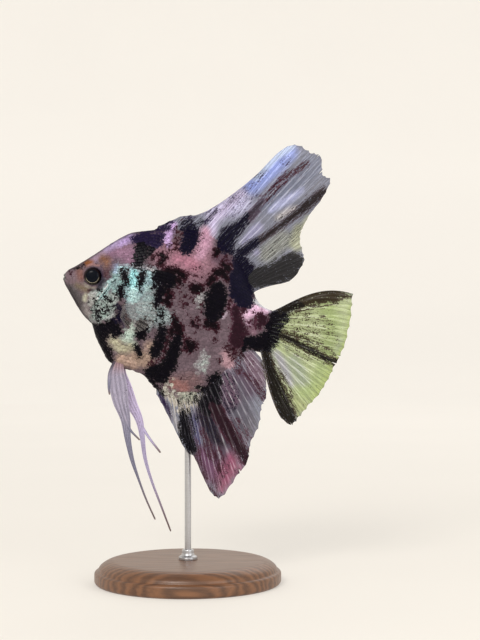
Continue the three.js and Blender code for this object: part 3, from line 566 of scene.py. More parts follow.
TRUNK_WASHES = [
    ((151, 112, 126), 3, 0.5, 0.1, [(34.3, 18.9, 5), (48.2, 18.9, 7)]),
    ((178, 122, 142), 2, 0.8, 0.1, [(39.3, 18.5, 2.0), (46.2, 17.9, 2.4)]),
    ((213, 164, 190), 2, 0.6, 0.2, [(47.8, 31, 2.4), (48.3, 25.9, 2.6), (47.5, 21.9, 1.6)]),
    ((97, 72, 87), 2, 0.8, 0.1, [(54.1, 22.5, 2), (58.6, 22.5, 2.4)]),
    ((220, 184, 242), 1.2, 1.0, 0.3, [(34.6, 30.8, 1.1), (33.7, 26.7, 1.7), (34.8, 22.5, 1.0)]),
    ((168, 206, 215), 2.2, 1.6, 0.9, [(26.6, 2, 3.6), (31.5, 6.9, 2.8)], [(20.1, 8.9, 1.2),
     (25.5, 10.1, 1.4), (31.8, 10.7, 1.0)]),
    ((175, 249, 255), 1.0, 1.0, 0.8, [(25.5, 8.1, 1.5), (26.3, 5, 2.2), (26.8, 2.6, 1.4)]),
    ((212, 255, 255), 1.2, 1.4, 1.0, [(27, 1.6, 1.6), (28.7, -1.6, 1.2)], [(31.5, 4, 0.8)]),
    ((153, 146, 152), 0.6, 1.0, 0.9, [(25.1, 11.3, 0.5), (27.7, 11.9, 0.4), (32, 11.5, 0.6)]),
    ((151, 171, 174), 2.4, 1.6, 0.8, [(30.1, -4.9, 2.6), (38.4, -4.9, 4), (42.7, -4.9, 1.8)],
     [(33.5, 3, 2.6), (33.5, -2.9, 4)]),
    ((172, 188, 191), 1.2, 1.8, 0.8, [(41.7, -4.5, 1.6)], [(31.5, -3.5, 1.4)], [(36, -9.5, 1.4)]),
    ((205, 226, 213), 1.6, 1.6, 0.8, [(29.9, -11.8, 1.6), (29, -16.2, 2.0), (31.4, -17.4, 1.2)]),
    ((191, 185, 158), 2, 1.2, 0.3, [(24.2, -18.4, 1.8), (28.9, -20.2, 2.2), (31.3, -18.8, 1.6)]),
    ((177, 151, 135), 2.2, 0.8, 0.2, [(29.2, -24.9, 2.2), (37.2, -21.8, 3.4)], [(38.3, -16.8, 1.8)]),
    ((205, 174, 158), 1.2, 0.6, 0.2, [(28.8, -23.9, 1.4), (34.1, -25.3, 1.0)]),
    ((127, 98, 101), 2.6, 0.8, 0.2, [(49.7, -27.9, 2.4), (57.1, -25.9, 3.6)]),
    ((159, 111, 107), 1.4, 0.8, 0.2, [(50.1, -28.3, 1.6), (55.1, -28.7, 1.8)]),
    ((167, 162, 165), 1.4, 1.8, 0.9, [(52.2, 7.3, 1.7), (52.6, 4.4, 1.6)], [(59.3, -14.5, 1.4),
     (59.1, -19.5, 2.0)]),
    ((176, 180, 178), 0.7, 1.4, 0.9, [(60.1, -14.9, 0.7), (59.7, -19.9, 0.9)]),
    # The tail stalk's pink, made brighter here as a painted highlight.
    ((251, 205, 238), 1.2, 0.5, 0.4, [(70.8, 4.4, 1.4), (73.2, 7.2, 2.0), (78.4, 8.2, 1.0)],
     [(72.4, 1.8, 1.0)]),
    # Painted highlight: a near-white line along the top edge of the tail stalk.
    ((244, 247, 255), 0.7, 0.2, 0.5, [(72.6, 10.6, 0.7), (75, 9.6, 0.7), (79, 8.4, 0.4)]),
    # Painted highlight: a small pale spot beside the rear black column.
    ((213, 192, 209), 0.4, 0.2, 0.5, [(62.2, 0.8, 0.4), (63.2, 3.2, 0.4)]),
    ((130, 95, 112), 1.4, 0.6, 0.2, [(74.6, -0.6, 1.4), (76, -2, 0.8)], [(64, 6, 1.6)]),
    ((195, 152, 163), 1.2, 1.2, 0.4, [(67, -12.3, 1.4), (69.2, -15.6, 2.0)]),
    ((209, 201, 188), 0.5, 3.2, 0.9, [(48.4, -32.1, 1.6), (54, -34.6, 2.6), (60.4, -31.4, 2.6)],
     [(53, -38.6, 0.9), (58, -37.2, 1.4)], [(47.9, -28.5, 1.0)], [(62, -28.4, 1.0)]),
    ((203, 204, 187), 1.0, 1.0, 0.7, [(55, -32.7, 1.5), (59.4, -31, 1.6)]),
]
FIN_WASHES = [
    ((222, 219, 255), 3.5, 0.6, 0.5, [(48, 40, 3), (56, 46, 5)]),
    ((164, 181, 252), 2.4, 0.6, 0.5, [(60, 53, 3), (66, 62, 3.2), (71, 69, 2.6)]),
    ((205, 221, 255), 1.2, 0.6, 0.5, [(60.6, 56.6, 1.4), (66, 66, 1.5), (71, 71.6, 1.2)]),
    ((224, 212, 250), 1.8, 0.8, 0.8, [(50.3, 31.4, 0.6), (48.8, 37, 2.0), (52, 42, 2.0), (57, 49, 1.2)]),
    ((128, 133, 155), 2.4, 0.6, 0.5, [(66, 46, 2.4), (74, 57, 4), (81, 66, 4), (77, 69, 2)]),
    ((183, 187, 225), 1.4, 0.8, 0.6, [(70, 46, 1.3), (74, 50.6, 1.6), (79, 56, 0.9)]),
    ((195, 190, 194), 1.4, 0.8, 0.6, [(73, 44, 1.2), (78, 48.6, 1.2)]),
    ((157, 160, 155), 2, 0.6, 0.5, [(72, 29, 3), (77, 36, 3.6)]),
    ((176, 179, 153), 1.6, 0.4, 0.3, [(82, 41, 2.4), (82.4, 36, 2.8), (84.4, 46, 1.4)]),
    ((165, 163, 196), 1.2, 1.0, 0.8, [(62.4, 31, 1.2), (66.4, 38, 1.6)], [(68.4, 28.6, 1.4)]),
    ((189, 201, 153), 2, 0.4, 0.4, [(88, 2, 6), (98, 10, 10), (98, -12, 9)], [(106, 19, 4), (108, 8, 4)],
     [(86, -4, 3), (96, -22, 5)]),
    ((173, 190, 129), 2.5, 0.5, 0.3, [(100, 15, 3), (104, 10, 3), (105, -10, 3), (101, -19, 3.4)]),
    ((175, 191, 120), 1.6, 0.5, 0.2, [(109, 18, 0.8), (110.2, 5, 0.8), (108, -8, 2.2), (104.4, -21, 2.0)]),
    ((176, 175, 181), 1.6, 0.8, 0.9, [(86, -7, 1.4), (90.4, -11.6, 2.2), (94, -16.4, 1.4)]),
    ((168, 179, 153), 2, 0.8, 0.9, [(93, -8, 2.4), (98, -14, 2.4)]),
    ((176, 185, 132), 1.5, 0.4, 0.2, [(101, -24, 2.4), (97.4, -22, 1.4), (100.4, -28, 1.0)]),
    ((102, 86, 105), 2.5, 0.6, 0.5, [(62, -44, 3), (70, -30, 7), (78, -20, 6)], [(72, -50, 6),
     (79, -40, 6)]),
    ((98, 96, 134), 1.4, 0.8, 0.7, [(61.8, -39, 1.4), (65.4, -47.6, 1.4)]),
    ((105, 101, 115), 2.2, 0.6, 0.4, [(74, -24, 3), (81, -36, 5)]),
    ((118, 93, 114), 1.6, 0.6, 0.95, [(69.6, -20, 2), (74, -28, 3)]),
    ((140, 118, 136), 1.8, 0.6, 0.8, [(76, -11, 2.8), (83, -18, 2.8)]),
    ((31, 16, 28), 2, 0.6, 0.5, [(66, -38, 2.6), (71.4, -43.6, 2.4), (74.4, -45.6, 1.6)]),
    ((124, 83, 116), 2.4, 0.6, 0.5, [(68, -52, 2.4), (74, -58, 4.0)]),
    ((154, 80, 113), 2.4, 0.6, 0.4, [(80, -51, 2.8), (79.6, -55, 4.0), (79, -62, 2.0)], [(83, -53, 1.8)]),
    ((89, 81, 112), 1, 0.4, 0.3, [(47, -34, 0.9), (54, -41.4, 1.0)]),
    ((179, 177, 183), 0.8, 0.8, 0.6, [(53, -39.0, 1.0), (57.0, -44.4, 1.1)]),
]


def wash_at(x, z, grain, ground, washes):
    """Washes over a ground colour: each covers as far as its depth, moved by the grain, is positive."""
    colour = np.broadcast_to(ground, (*np.shape(x), 3))
    shine = np.zeros(np.shape(x))
    for tint, soft, ragged, gleam, *rows in washes:
        inside = np.max([depth_in(beads, x, z) for beads in rows], axis=0)
        cover = ramp(-soft, soft, inside + 2 * ragged * (grain - 0.5))
        colour = blend(colour, paint(*tint), cover)
        shine += (gleam - shine) * cover
    return colour, shine


print(len(HEAD_WASHES + TRUNK_WASHES + FIN_WASHES), "washes")

# %% [markdown]
# ## Finishes and their parts
# A finish is a small graph of nodes. Two helpers keep each graph short to write: one adds a node and
# plugs in what it needs, the other starts a group with named inputs and outputs. A group is made once
# and used by every finish that needs its effect, each with values of its own.

# %% Node helpers
def plug(tree, value, inlet):
    """A wire from an output to an input, or a plain number or colour set there."""
    if isinstance(value, bpy.types.NodeSocket):
        tree.links.new(value, inlet)
    else:
        inlet.default_value = value


def add_node(tree, kind, values=None, **settings):
    """A node of a kind; each value is a number, a colour or another node's output to plug in."""
    made = tree.nodes.new("ShaderNode" + kind)
    for name, setting in settings.items():
        setattr(made, name, setting)
    for socket, value in (values or {}).items():
        plug(tree, value, made.inputs[socket])
    return made


def mix_colours(tree, share, first, second, blend="MIX"):
    """Two colours mixed: the first where the share is 0, the second where it is 1."""
    colours = {0: share, 6: first, 7: second}
    return add_node(tree, "Mix", colours, data_type="RGBA", blend_type=blend).outputs[2]


def calculate(tree, operation, *values):
    """One sum on numbers or outputs, such as ADD, MULTIPLY or MULTIPLY_ADD."""
    return add_node(tree, "Math", dict(enumerate(values)), operation=operation).outputs[0]


def spread(tree, value, low, high, to_low=0.0, to_high=1.0):
    """A value's range low to high carried to another range with soft ends, and held beyond it."""
    limits = {0: value, 1: low, 2: high, 3: to_low, 4: to_high}
    return add_node(tree, "MapRange", limits, interpolation_type="SMOOTHSTEP").outputs[0]


def toned(tree, colour, tone):
    """A colour made lighter or darker by a number: multiplied by a grey of that tone."""
    grey = add_node(tree, "CombineColor", {0: tone, 1: tone, 2: tone}).outputs[0]
    return mix_colours(tree, 1.0, colour, grey, "MULTIPLY")


def colour_run(tree, value, *stops):
    """A value from 0 to 1 turned into colours that run from stop to stop, each a place and a colour."""
    run = add_node(tree, "ValToRGB", {0: value})
    elements = run.color_ramp.elements
    for place, _ in stops[1:-1]:
        elements.new(place)
    for element, (_, colour) in zip(elements, stops):
        element.color = colour
    return run.outputs[0]


def stored(tree, kind, *names):
    """What the mesh stores under each name: its Color, Fac (a number) or Vector."""
    return [add_node(tree, "Attribute", attribute_name=name).outputs[kind] for name in names]


def noise(tree, vector, scale, detail=2.0, roughness=0.5):
    """Cloudy noise from 0 to 1, with `scale` clouds a metre."""
    values = {"Vector": vector, "Scale": scale, "Detail": detail, "Roughness": roughness}
    return add_node(tree, "TexNoise", values).outputs["Fac"]


def here(tree):
    """The place on the object, in metres."""
    return add_node(tree, "TexCoord").outputs["Object"]


def stretched(tree, vector, scale):
    """A place with each of its axes scaled, which stretches whatever is looked up there."""
    return add_node(tree, "Mapping", {"Vector": vector, "Scale": scale}).outputs[0]


def new_group(name, takes, gives):
    """An empty node group with named inputs and outputs, and its two end nodes."""
    tree = bpy.data.node_groups.new(name, "ShaderNodeTree")
    for label, kind in takes.items():
        tree.interface.new_socket(label, in_out="INPUT", socket_type="NodeSocket" + kind)
    for label, kind in gives.items():
        tree.interface.new_socket(label, in_out="OUTPUT", socket_type="NodeSocket" + kind)
    return tree, tree.nodes.new("NodeGroupInput").outputs, tree.nodes.new("NodeGroupOutput").inputs


def use_group(tree, group, values):
    """A group placed in a finish, with its values."""
    return add_node(tree, "Group", values, node_tree=group).outputs


def new_finish(name, **fixed):
    """A finish with one Principled shader, its plain settings given by name."""
    finish = bpy.data.materials.new(name)
    finish.use_nodes = True
    shader = finish.node_tree.nodes["Principled BSDF"]
    for label, value in fixed.items():
        shader.inputs[label.replace("_", " ")].default_value = value
    return finish, finish.node_tree, shader.inputs


def add_bump(tree, shader, strength, distance, height):
    """Fine relief from a height, over a distance in metres."""
    values = {"Strength": strength, "Distance": distance, "Height": height}
    plug(tree, add_node(tree, "Bump", values).outputs[0], shader["Normal"])


print("node helpers ready")

# %% [markdown]
# ## Marbling and streaks
# The bead marks come to a finish as a depth in millimetres. The marbling group adds two sizes of
# cloudy noise to that depth and then cuts it, so every edge breaks into specks as pigment cells do.
# The streak group stretches the same noise along a fin's rays: pigment there lies in dashes.

# %% Marbling and streak groups
def make_marbling():
    """Ink where depth plus noise is above zero, over a wash that noise makes lighter and darker."""
    takes = {"Wash": "Color", "Ink": "Color", "Depth": "Float", "Ragged": "Float", "Grain": "Float"}
    tree, given, result = new_group("marbling", takes, {"Colour": "Color", "Mask": "Float"})
    place = here(tree)
    specks = noise(tree, place, 2300, 2, 0.6)
    both = calculate(tree, "ADD", given["Grain"], specks)
    moved = calculate(tree, "MULTIPLY", calculate(tree, "SUBTRACT", both, 1.0), given["Ragged"])
    mask = spread(tree, calculate(tree, "ADD", given["Depth"], moved), -0.25, 0.25)
    clouded = toned(tree, given["Wash"], spread(tree, both, 0.7, 1.3, 0.62, 0.95))
    plug(tree, mix_colours(tree, mask, clouded, given["Ink"]), result["Colour"])
    plug(tree, mask, result["Mask"])
    return tree


def make_streaks():
    """Noise on the place across the rays and a seventh of the place along them: thin dashes."""
    tree, given, result = new_group("ray streaks", {"Lie": "Vector"}, {"Streak": "Float", "Fine": "Float"})
    plug(tree, noise(tree, stretched(tree, given["Lie"], (1.0, 0.14, 1.0)), 2.2, 3), result["Streak"])
    plug(tree, noise(tree, stretched(tree, given["Lie"], (1.0, 0.06, 1.0)), 4.4, 1), result["Fine"])
    return tree


def make_glitter():
    """Mirror cells: where shine is high and no ink lies, noise darkens the gaps and lights the specks with
    pale painted glints.
    """
    takes = {"Colour": "Color", "Shine": "Float", "Mask": "Float"}
    tree, given, result = new_group("mirror cells", takes, {"Colour": "Color"})
    cells = noise(tree, here(tree), 2100, 3, 0.7)
    bare = calculate(tree, "MULTIPLY", given["Shine"], calculate(tree, "SUBTRACT", 1.0, given["Mask"]))
    gaps = calculate(tree, "MULTIPLY", bare, spread(tree, cells, 0.44, 0.54, 0.75, 0.0))
    darker = mix_colours(tree, gaps, given["Colour"], (0.22, 0.24, 0.25, 1), "MULTIPLY")
    # Painted glints: pale specks on the shiny patches where no ink lies.
    specks = calculate(tree, "MULTIPLY", bare, spread(tree, cells, 0.56, 0.66, 0.0, 0.55))
    plug(tree, mix_colours(tree, specks, darker, (0.70, 0.76, 0.74, 1)), result["Colour"])
    return tree


MARBLING = make_marbling()
STREAKS = make_streaks()
GLITTER = make_glitter()
print("groups:", [group.name for group in bpy.data.node_groups])

# %% [markdown]
# ## The skin's finish
# Living skin is wet: a clear coat over a softer layer. Where the wash carries mirror cells the layer
# turns a little metallic. Bump gives the pores and folds too fine for the mesh.

# %% Skin and scale finishes
WET = {"Specular_IOR_Level": 0.05, "Coat_Weight": 0.02}


def lay_marbling(tree, grain, ragged):
    """The stored marks over the stored washes: the marbled colour, the mask of ink and the shine."""
    wash, ink = stored(tree, "Color", "wash", "ink")
    depth, shine = stored(tree, "Fac", "depth", "shine")
    values = {"Wash": wash, "Ink": ink, "Depth": depth, "Ragged": ragged, "Grain": grain}
    marbled = use_group(tree, MARBLING, values)
    return marbled["Colour"], marbled["Mask"], shine


def make_skin_finish():
    """Marbled colour, wet coat, metallic by shine, pores over two sizes of noise."""
    finish, tree, shader = new_finish("fish skin", Coat_Roughness=0.14, **WET)
    grain = noise(tree, here(tree), 800, 3)
    colour, mask, shine = lay_marbling(tree, grain, 3.4)
    lit = use_group(tree, GLITTER, {"Colour": colour, "Shine": shine, "Mask": mask})
    plug(tree, lit["Colour"], shader["Base Color"])
    plug(tree, spread(tree, mask, 0, 1, 0.42, 0.34), shader["Roughness"])
    plug(tree, calculate(tree, "MULTIPLY", shine, 0.25), shader["Metallic"])
    pores = add_node(tree, "TexVoronoi", {"Vector": here(tree), "Scale": 1900}).outputs["Distance"]
    add_bump(tree, shader, 0.35, 0.00012, calculate(tree, "MULTIPLY_ADD", pores, 0.5, grain))
    return finish


def make_scale_finish():
    """As the skin, with each scale lighter or darker by luck, a dusky rim and a nacre tint painted as a
    sheen in each shiny scale's middle.
    """
    finish, tree, shader = new_finish("fish scales", Coat_Roughness=0.14, **WET)
    grain = noise(tree, here(tree), 1100, 3)
    colour, mask, shine = lay_marbling(tree, grain, 3.8)
    luck, rim = stored(tree, "Fac", "luck", "rim")
    lit = use_group(tree, GLITTER, {"Colour": colour, "Shine": shine, "Mask": mask})
    tone = calculate(tree, "MULTIPLY_ADD", luck, 0.36, 0.84)
    dusk = calculate(tree, "MULTIPLY", tone, spread(tree, rim, 0.35, 1.0, 1.0, 0.8))
    scaly = toned(tree, lit["Colour"], dusk)
    # Painted sheen: shiny scales turn towards a nacre tint in their middles, away from rim and ink.
    nacre = colour_run(tree, luck, (0, opaque(186, 160, 180)), (1, opaque(160, 196, 192)))
    centre = calculate(tree, "SUBTRACT", 1.0, calculate(tree, "MAXIMUM", mask, rim))
    glint = calculate(tree, "MULTIPLY", calculate(tree, "MULTIPLY", shine, 0.2), centre)
    plug(tree, mix_colours(tree, glint, scaly, nacre), shader["Base Color"])
    plug(tree, calculate(tree, "MULTIPLY", shine, 0.3), shader["Metallic"])
    plug(tree, spread(tree, mask, 0, 1, 0.38, 0.30), shader["Roughness"])
    add_bump(tree, shader, 0.25, 0.0001, grain)
    return finish


SKIN_FINISH = make_skin_finish()
SCALE_FINISH = make_scale_finish()
print("finishes:", SKIN_FINISH.name, "and", SCALE_FINISH.name)

# %% [markdown]
# ## Colour carried by the mesh
# Marks and washes are worked out at each point and stored there. The right flank has its own version:
# no marbled fish is the same on both sides, so its pattern is looked up at a place that wanders a few
# millimetres, and the two flanks agree again along the back and the belly.

# %% Colour at a point
def flank_wander(x, z, aside):
    """Offsets of up to 4 mm from smooth noise, growing from none at the midline to full at y = 2.5."""
    share = ramp(0.4, 2.5, aside)
    shift_x = 8 * (mottle(x / 9 + 3, z / 9 + 40, 1) - 0.5) * share
    shift_z = 8 * (mottle(x / 9 + 70, z / 9 + 9, 2) - 0.5) * share
    keep = 1 - ramp(6, 3.6, np.hypot(x - EYE["x"], z - EYE["z"]))
    return x + shift_x * keep, z + shift_z * keep


def body_colours(points, luck=0.5):
    """Wash, shine, ink and depth at points (..., 3): head washes, then trunk washes, then marks."""
    x, z = flank_wander(points[..., 0], points[..., 2], points[..., 1])
    clouds = 0.6 * mottle(x * 0.8 + 20, z * 0.8 + 50, 3) + 0.4 * mottle(x * 2.1, z * 2.1 + 60, 4)
    grain = 0.65 * clouds + 0.35 * luck
    wash, shine = wash_at(x, z, grain, MAUVE_GREY, HEAD_WASHES + TRUNK_WASHES)
    table = flow(STATIONS, points[..., 0])
    # Painted shade: within 1.9 mm of the back and the belly, ahead of x = 26 mm and fading out by 34 mm, the
    # wash darkens towards the edge colour where the form turns away from the light.
    from_edge = np.minimum(table[..., 1] - points[..., 2], points[..., 2] - table[..., 2])
    dusk = 0.85 * ramp(1.9, 0.2, from_edge) * ramp(34, 26, points[..., 0])
    depth, ink = ink_at(x, z, grain)
    return {"wash": blend(wash, EDGE_SHADE, dusk), "shine": shine, "ink": ink, "depth": depth}


sample = body_colours(np.array([[26.0, -7.0, 6.0], [57.0, -4.0, 8.0]]))
print("depth in ink at a bright and at a dark place, mm:", np.round(sample["depth"], 2))

# %% [markdown]
# ## The head's relief
# The head is where a fish looks alive or dead, so it gets its forms as real relief. The mouth is a
# cleft between two swellings, with the fold of the upper jaw behind it. The nostril is one small pit
# on each side, as in all of this family. The eye sits in a socket with a fleshy rim; fish have no
# lids. Behind the cheek the fore gill cover ends in a ridge. Each of these is written as a line or a
# spot with soft folds, raised or sunk, at some distance beside it. The gill cover itself overlaps the
# body like a plate, thick at its edge, with a gap behind it, so it has a function of its own.

# %% Relief over the plain form
CHEEK_RIDGE = [(18.4, 7.6, 0), (17.4, 1.2, 0), (16, -2.2, 0), (14.2, -5, 0), (12, -7.6, 0), (9.2, -8.8, 0)]
FOLDS = {  # a line or a spot, then folds beside it: height, how far from it, and width, all in mm
    "mouth": ([(-1.6, 0.6, 0), (0.4, 0.0, 0), (2.4, -2.3, 0)], (0.2, 0.8, 0.5), (-0.42, 0, 0.22)),
    "jaw fold": ([(0.9, 3.0, 0), (2.7, 0.6, 0), (3.5, -2.2, 0), (3.4, -3.6, 0)],
                 (0.16, 0.5, 0.4), (-0.2, 0, 0.25)),
    "jaw joint": ([(2.8, -3.2, 0), (4.6, -5.4, 0), (7.4, -8.2, 0)], (0.12, 0.6, 0.5), (-0.22, 0, 0.28)),
    "cheek ridge": (CHEEK_RIDGE, (0.22, 0, 0.5), (-0.12, 0.9, 0.5)),
    "nostril": ([(5.0, 5.9, 0)], (0.12, 0.62, 0.22), (-0.5, 0, 0.3)),
    "eye's rim": ([(EYE["x"], EYE["z"], 0)], (0.26, 3.85, 0.34), (-0.10, 4.7, 0.5)),
    "cheek": ([(12.4, -3.2, 0)], (0.25, 0, 3.0)),
}
SOCKET_DEPTH = 1.9
GILL_CENTRE = (14.0, 0.0)
GILL_EDGE = [  # direction from the gill centre in degrees, reach in mm
    (-92, 13.9), (-78, 13.8), (-62, 13.6), (-49, 12.8), (-33, 11.4), (-15, 10.8), (0, 10.7),
    (20, 11.4), (38, 13.8), (50, 17.0),
]


def hump(value, centre, width):
    """exp(-((value - centre) / width)^2)."""
    return np.exp(-(((value - centre) / width) ** 2))


def gill_relief(x, z):
    """The cover rises 0.35 mm towards its edge and drops at once to a gap that fades in 1.2 mm."""
    dx, dz = x - GILL_CENTRE[0], z - GILL_CENTRE[1]
    direction = np.degrees(np.arctan2(dz, dx))
    past = np.hypot(dx, dz) - flow(GILL_EDGE, direction)[..., 1]
    cover = 0.35 * np.exp(np.minimum(past, 0) / 2.6)
    gap = -0.38 * np.exp(-np.maximum(past, 0) / 0.9)
    shown = ramp(-100, -80, direction) * (1 - ramp(40, 54, direction))
    return shown * (cover + (gap - cover) * ramp(-0.12, 0.22, past))


def skin_relief(x, z):
    """Millimetres out of the plain form at a place of the side view: the sum of the head's features."""
    relief = gill_relief(x, z) + 0.06 * (mottle(x * 0.7, z * 0.7, 5) - 0.5)
    relief -= SOCKET_DEPTH * (1 - ramp(2.95, 3.42, np.hypot(x - EYE["x"], z - EYE["z"])))
    for line, *folds in FOLDS.values():
        distance = -depth_in(line, x, z)
        relief += sum(height * hump(distance, beside, width) for height, beside, width in folds)
    return relief


def skin_point(x, angle):
    """The plain form moved along its normal by the relief."""
    plain = body_point(x, angle)
    return plain + body_normal(x, angle) * skin_relief(x, plain[..., 2])[..., None]


mouth_and_lip = skin_relief(np.array([1.4, 1.4]), np.array([-1.1, 0.1]))
print("relief at the mouth and on its lip, mm:", np.round(mouth_and_lip, 2))

# %% [markdown]
# ## The skin
# One skin covers head, jaw, gill covers, trunk and tail stalk, so no seam shows. Its rings stand
# close together on the head, where the relief is fine, and further apart on the flanks.

# %% The skin itself
AROUND = 280


def ring_places():
    """Places along the body: packed at the snout by squares, then every 0.16 mm, then 0.36 mm."""
    tip = SNOUT_TIP + SNOUT_ROUNDING * np.linspace(0.01, 1, 16) ** 2
    head = np.arange(tip[-1] + 0.16, 26, 0.16)
    back = np.linspace(26, BODY_END, 152)
    return np.concatenate([tip, head, back])


def ring_angles(columns):
    """Angles half way between even steps of angle and even steps of height, on both flanks."""
    even = 2 * math.pi * (np.arange(columns) + 0.5) / columns - math.pi / 2
    right = np.where(even > math.pi / 2, math.pi - even, even)
    right = 0.5 * right + 0.5 * np.arcsin(np.clip(right / (math.pi / 2), -1, 1))
    return np.where(even > math.pi / 2, math.pi - right, right)


x_grid, angle_grid = np.meshgrid(ring_places(), ring_angles(AROUND), indexing="ij")
skin_rings = skin_point(x_grid, angle_grid)
FLESH = ("head", "lower_jaw", "gill_cover_left", "gill_cover_right", "trunk", "tail_stalk")
add_skin("skin", skin_rings, SKIN_FINISH, "skin", FLESH, body_colours(skin_rings))

# %% [markdown]
# ## Scales
# Each scale is a thin shield: domed, rounded behind, its front edge tucked under its neighbours. Rows
# are staggered like roof tiles, spread behind the head and draw together towards the tail. A shield
# has only a few dozen faces and is worked out once; whole arrays then place it on every root, turned
# to the skin's slope and to the lie of its row. On the flat map each scale is a tiny patch at the
# place of its root on the skin's own map.

# %% One scale
PITCH = 1.55  # between scales of a row, mm
ROW = 1.3  # between rows, mm
SCALE_LENGTH = 1.7  # in pitches
SCALE_WIDTH = 1.45  # in rows
PATCH = 0.003  # size of a scale's patch on the flat map

along_scale = np.array([-1, -0.6, -0.1, 0.4, 0.78, 1.0])
width_there = np.array([0.55, 0.9, 1.0, 0.92, 0.66, 0.34])
across_scale = np.array([-1, -0.4, 0.4, 1.0])


def scale_shield():
    """Rings across a shield: four points over the dome and four back under it.

    Height is 0.045 (1 - b^2)(1 - a^2 / 2) over a plane that rises 0.03 from front to back; the
    underside lies 0.03 lower at the rim and 0.07 lower in the middle, all in millimetres.
    """
    a, b = np.meshgrid(along_scale, across_scale, indexing="ij")
    dome = 0.045 * (1 - b**2) * (1 - a**2 / 2)
    top = np.stack([a, b * width_there[:, None], 0.03 * a + dome], -1)
    under = top - np.array([0, 0, 1]) * (0.03 + 0.04 * (1 - b**2))[..., None]
    rim = np.maximum(np.abs(b), ramp(0.3, 1.0, a))
    shield = np.concatenate([top, under[:, ::-1]], 1)
    rims = np.concatenate([rim, rim[:, ::-1]], 1)
    return shield.reshape(-1, 3), rims.ravel(), ring_faces(len(a), 8)[0]


SHIELD, SHIELD_RIM, SHIELD_FACES = scale_shield()
print("one scale:", len(SHIELD), "points,", len(SHIELD_FACES), "faces")

# %% Scale roots
SCALE_SIZES = [(8, 0.66), (16, 0.74), (22, 0.86), (28, 1.0), (46, 1.0), (62, 0.86), (74, 0.66), (84, 0.58)]


def size_at(x):
    """How large a scale is at a place along the body, as a share of the largest."""
    keys, sizes = np.array(SCALE_SIZES).T
    return np.interp(x, keys, sizes)


def flank_roots(side):
    """Roots in staggered rows: along a row the step is the pitch times the size there.

    Row j runs at height j x ROW x size. Roots keep off the snout, the eye, the cheek's ridge and the
    edges of back and belly.
    """
    fine = np.linspace(9, 81, 3000)
    count = np.concatenate([[0], np.cumsum(np.diff(fine) / (PITCH * size_at(fine[1:])))])
    j, k = np.meshgrid(np.arange(-34, 35), np.arange(0, int(count[-1]) + 1), indexing="ij")
    x = np.interp(k + 0.5 * (j % 2), count, fine).ravel()
    j = j.ravel()
    x += 0.10 * np.sin(12.9 * x + 7.1 * j + side)
    z = j * ROW * size_at(x) + 0.10 * np.sin(9.3 * x + 5.7 * j)
    slope = j * ROW * (size_at(x + 0.5) - size_at(x - 0.5))
    table = flow(STATIONS, x)
    inside = (z < table[:, 1] - 0.35) & (z > table[:, 2] + 0.35)
    clear_of_eye = np.hypot(x - EYE["x"], z - EYE["z"]) > 5.2
    bare_face = x < 10.5 + 0.12 * np.abs(z - 2)
    bare_ridge = (depth_in(CHEEK_RIDGE, x, z) > -0.9) & (z < 3) & (z > -6.4)
    keep = inside & clear_of_eye & ~bare_face & ~bare_ridge
    return x[keep], z[keep], slope[keep]


print("roots on one flank:", len(flank_roots(-1)[0]))


# %% Scales set on the skin
def unit(vectors):
    """Vectors made one long."""
    return vectors / np.maximum(np.linalg.norm(vectors, axis=-1, keepdims=True), 1e-9)


def set_shields(roots, lie, normal, length, width):
    """Points root + a x length x lie + b x width x aside + h x normal, for every scale at once.

    The height h shrinks with the square of the length, so that the smallest scales lie almost flush.
    """
    lie = unit(lie - np.sum(lie * normal, -1, keepdims=True) * normal)
    aside = np.cross(normal, lie)
    a, b, h = (SHIELD[:, k][None, :, None] for k in range(3))
    half_length, half_width = length[:, None, None] / 2, width[:, None, None] / 2
    rise = (length / (SCALE_LENGTH * PITCH))[:, None, None] ** 2
    return (roots[:, None] + a * half_length * lie[:, None] + b * half_width * aside[:, None]
            + h * rise * normal[:, None])


def add_scales(name, side, seed):
    """The scales of one flank as one mesh, each with its own luck, colours and patch of the skin's map."""
    x, z, slope = flank_roots(side)
    angle = angle_at(x, z, side)
    root, normal = skin_point(x, angle), body_normal(x, angle)
    lie = np.stack([np.ones_like(x), np.zeros_like(x), slope], -1)
    size = size_at(x)
    turn = np.mod(angle + math.pi / 2, 2 * math.pi) / (2 * math.pi)
    place = np.stack([(x - SNOUT_TIP) / (BODY_END - SNOUT_TIP), turn], -1)
    luck = np.random.default_rng(seed).random(len(root))
    length = SCALE_LENGTH * PITCH * size * (0.95 + 0.1 * luck)
    width = SCALE_WIDTH * ROW * size * (1.05 - 0.1 * luck)
    shields = set_shields(root, lie, normal, length, width)
    looked_up = 0.5 * shields + 0.5 * root[:, None]
    colours = body_colours(looked_up, luck[:, None])
    colours["luck"] = np.broadcast_to(luck[:, None], shields.shape[:2])
    colours["rim"] = SHIELD_RIM * np.clip(2 * size[:, None] - 1, 0, 1)
    corners = SHIELD_FACES[None] + len(SHIELD) * np.arange(len(root))[:, None, None]
    patch = place[:, None, None] + PATCH / 2 * SHIELD[:, :2][SHIELD_FACES][None]
    add_piece(name, in_frame(shields), corners.reshape(-1, 4), patch.reshape(-1, 4, 2), SCALE_FINISH,
              "skin", (), colours)


add_scales("scales_left", -1, 11)
add_scales("scales_right", 1, 12)

# %% [markdown]
# ## Eyes
# A fish's eye is a nearly flat disc of iris round a black pupil, under a clear dome. Here the dome
# and the disc are one turned form with a wet coat: black, with a thin gold arc hugging the pupil
# below and a paler one at the outer edge, in front and below.

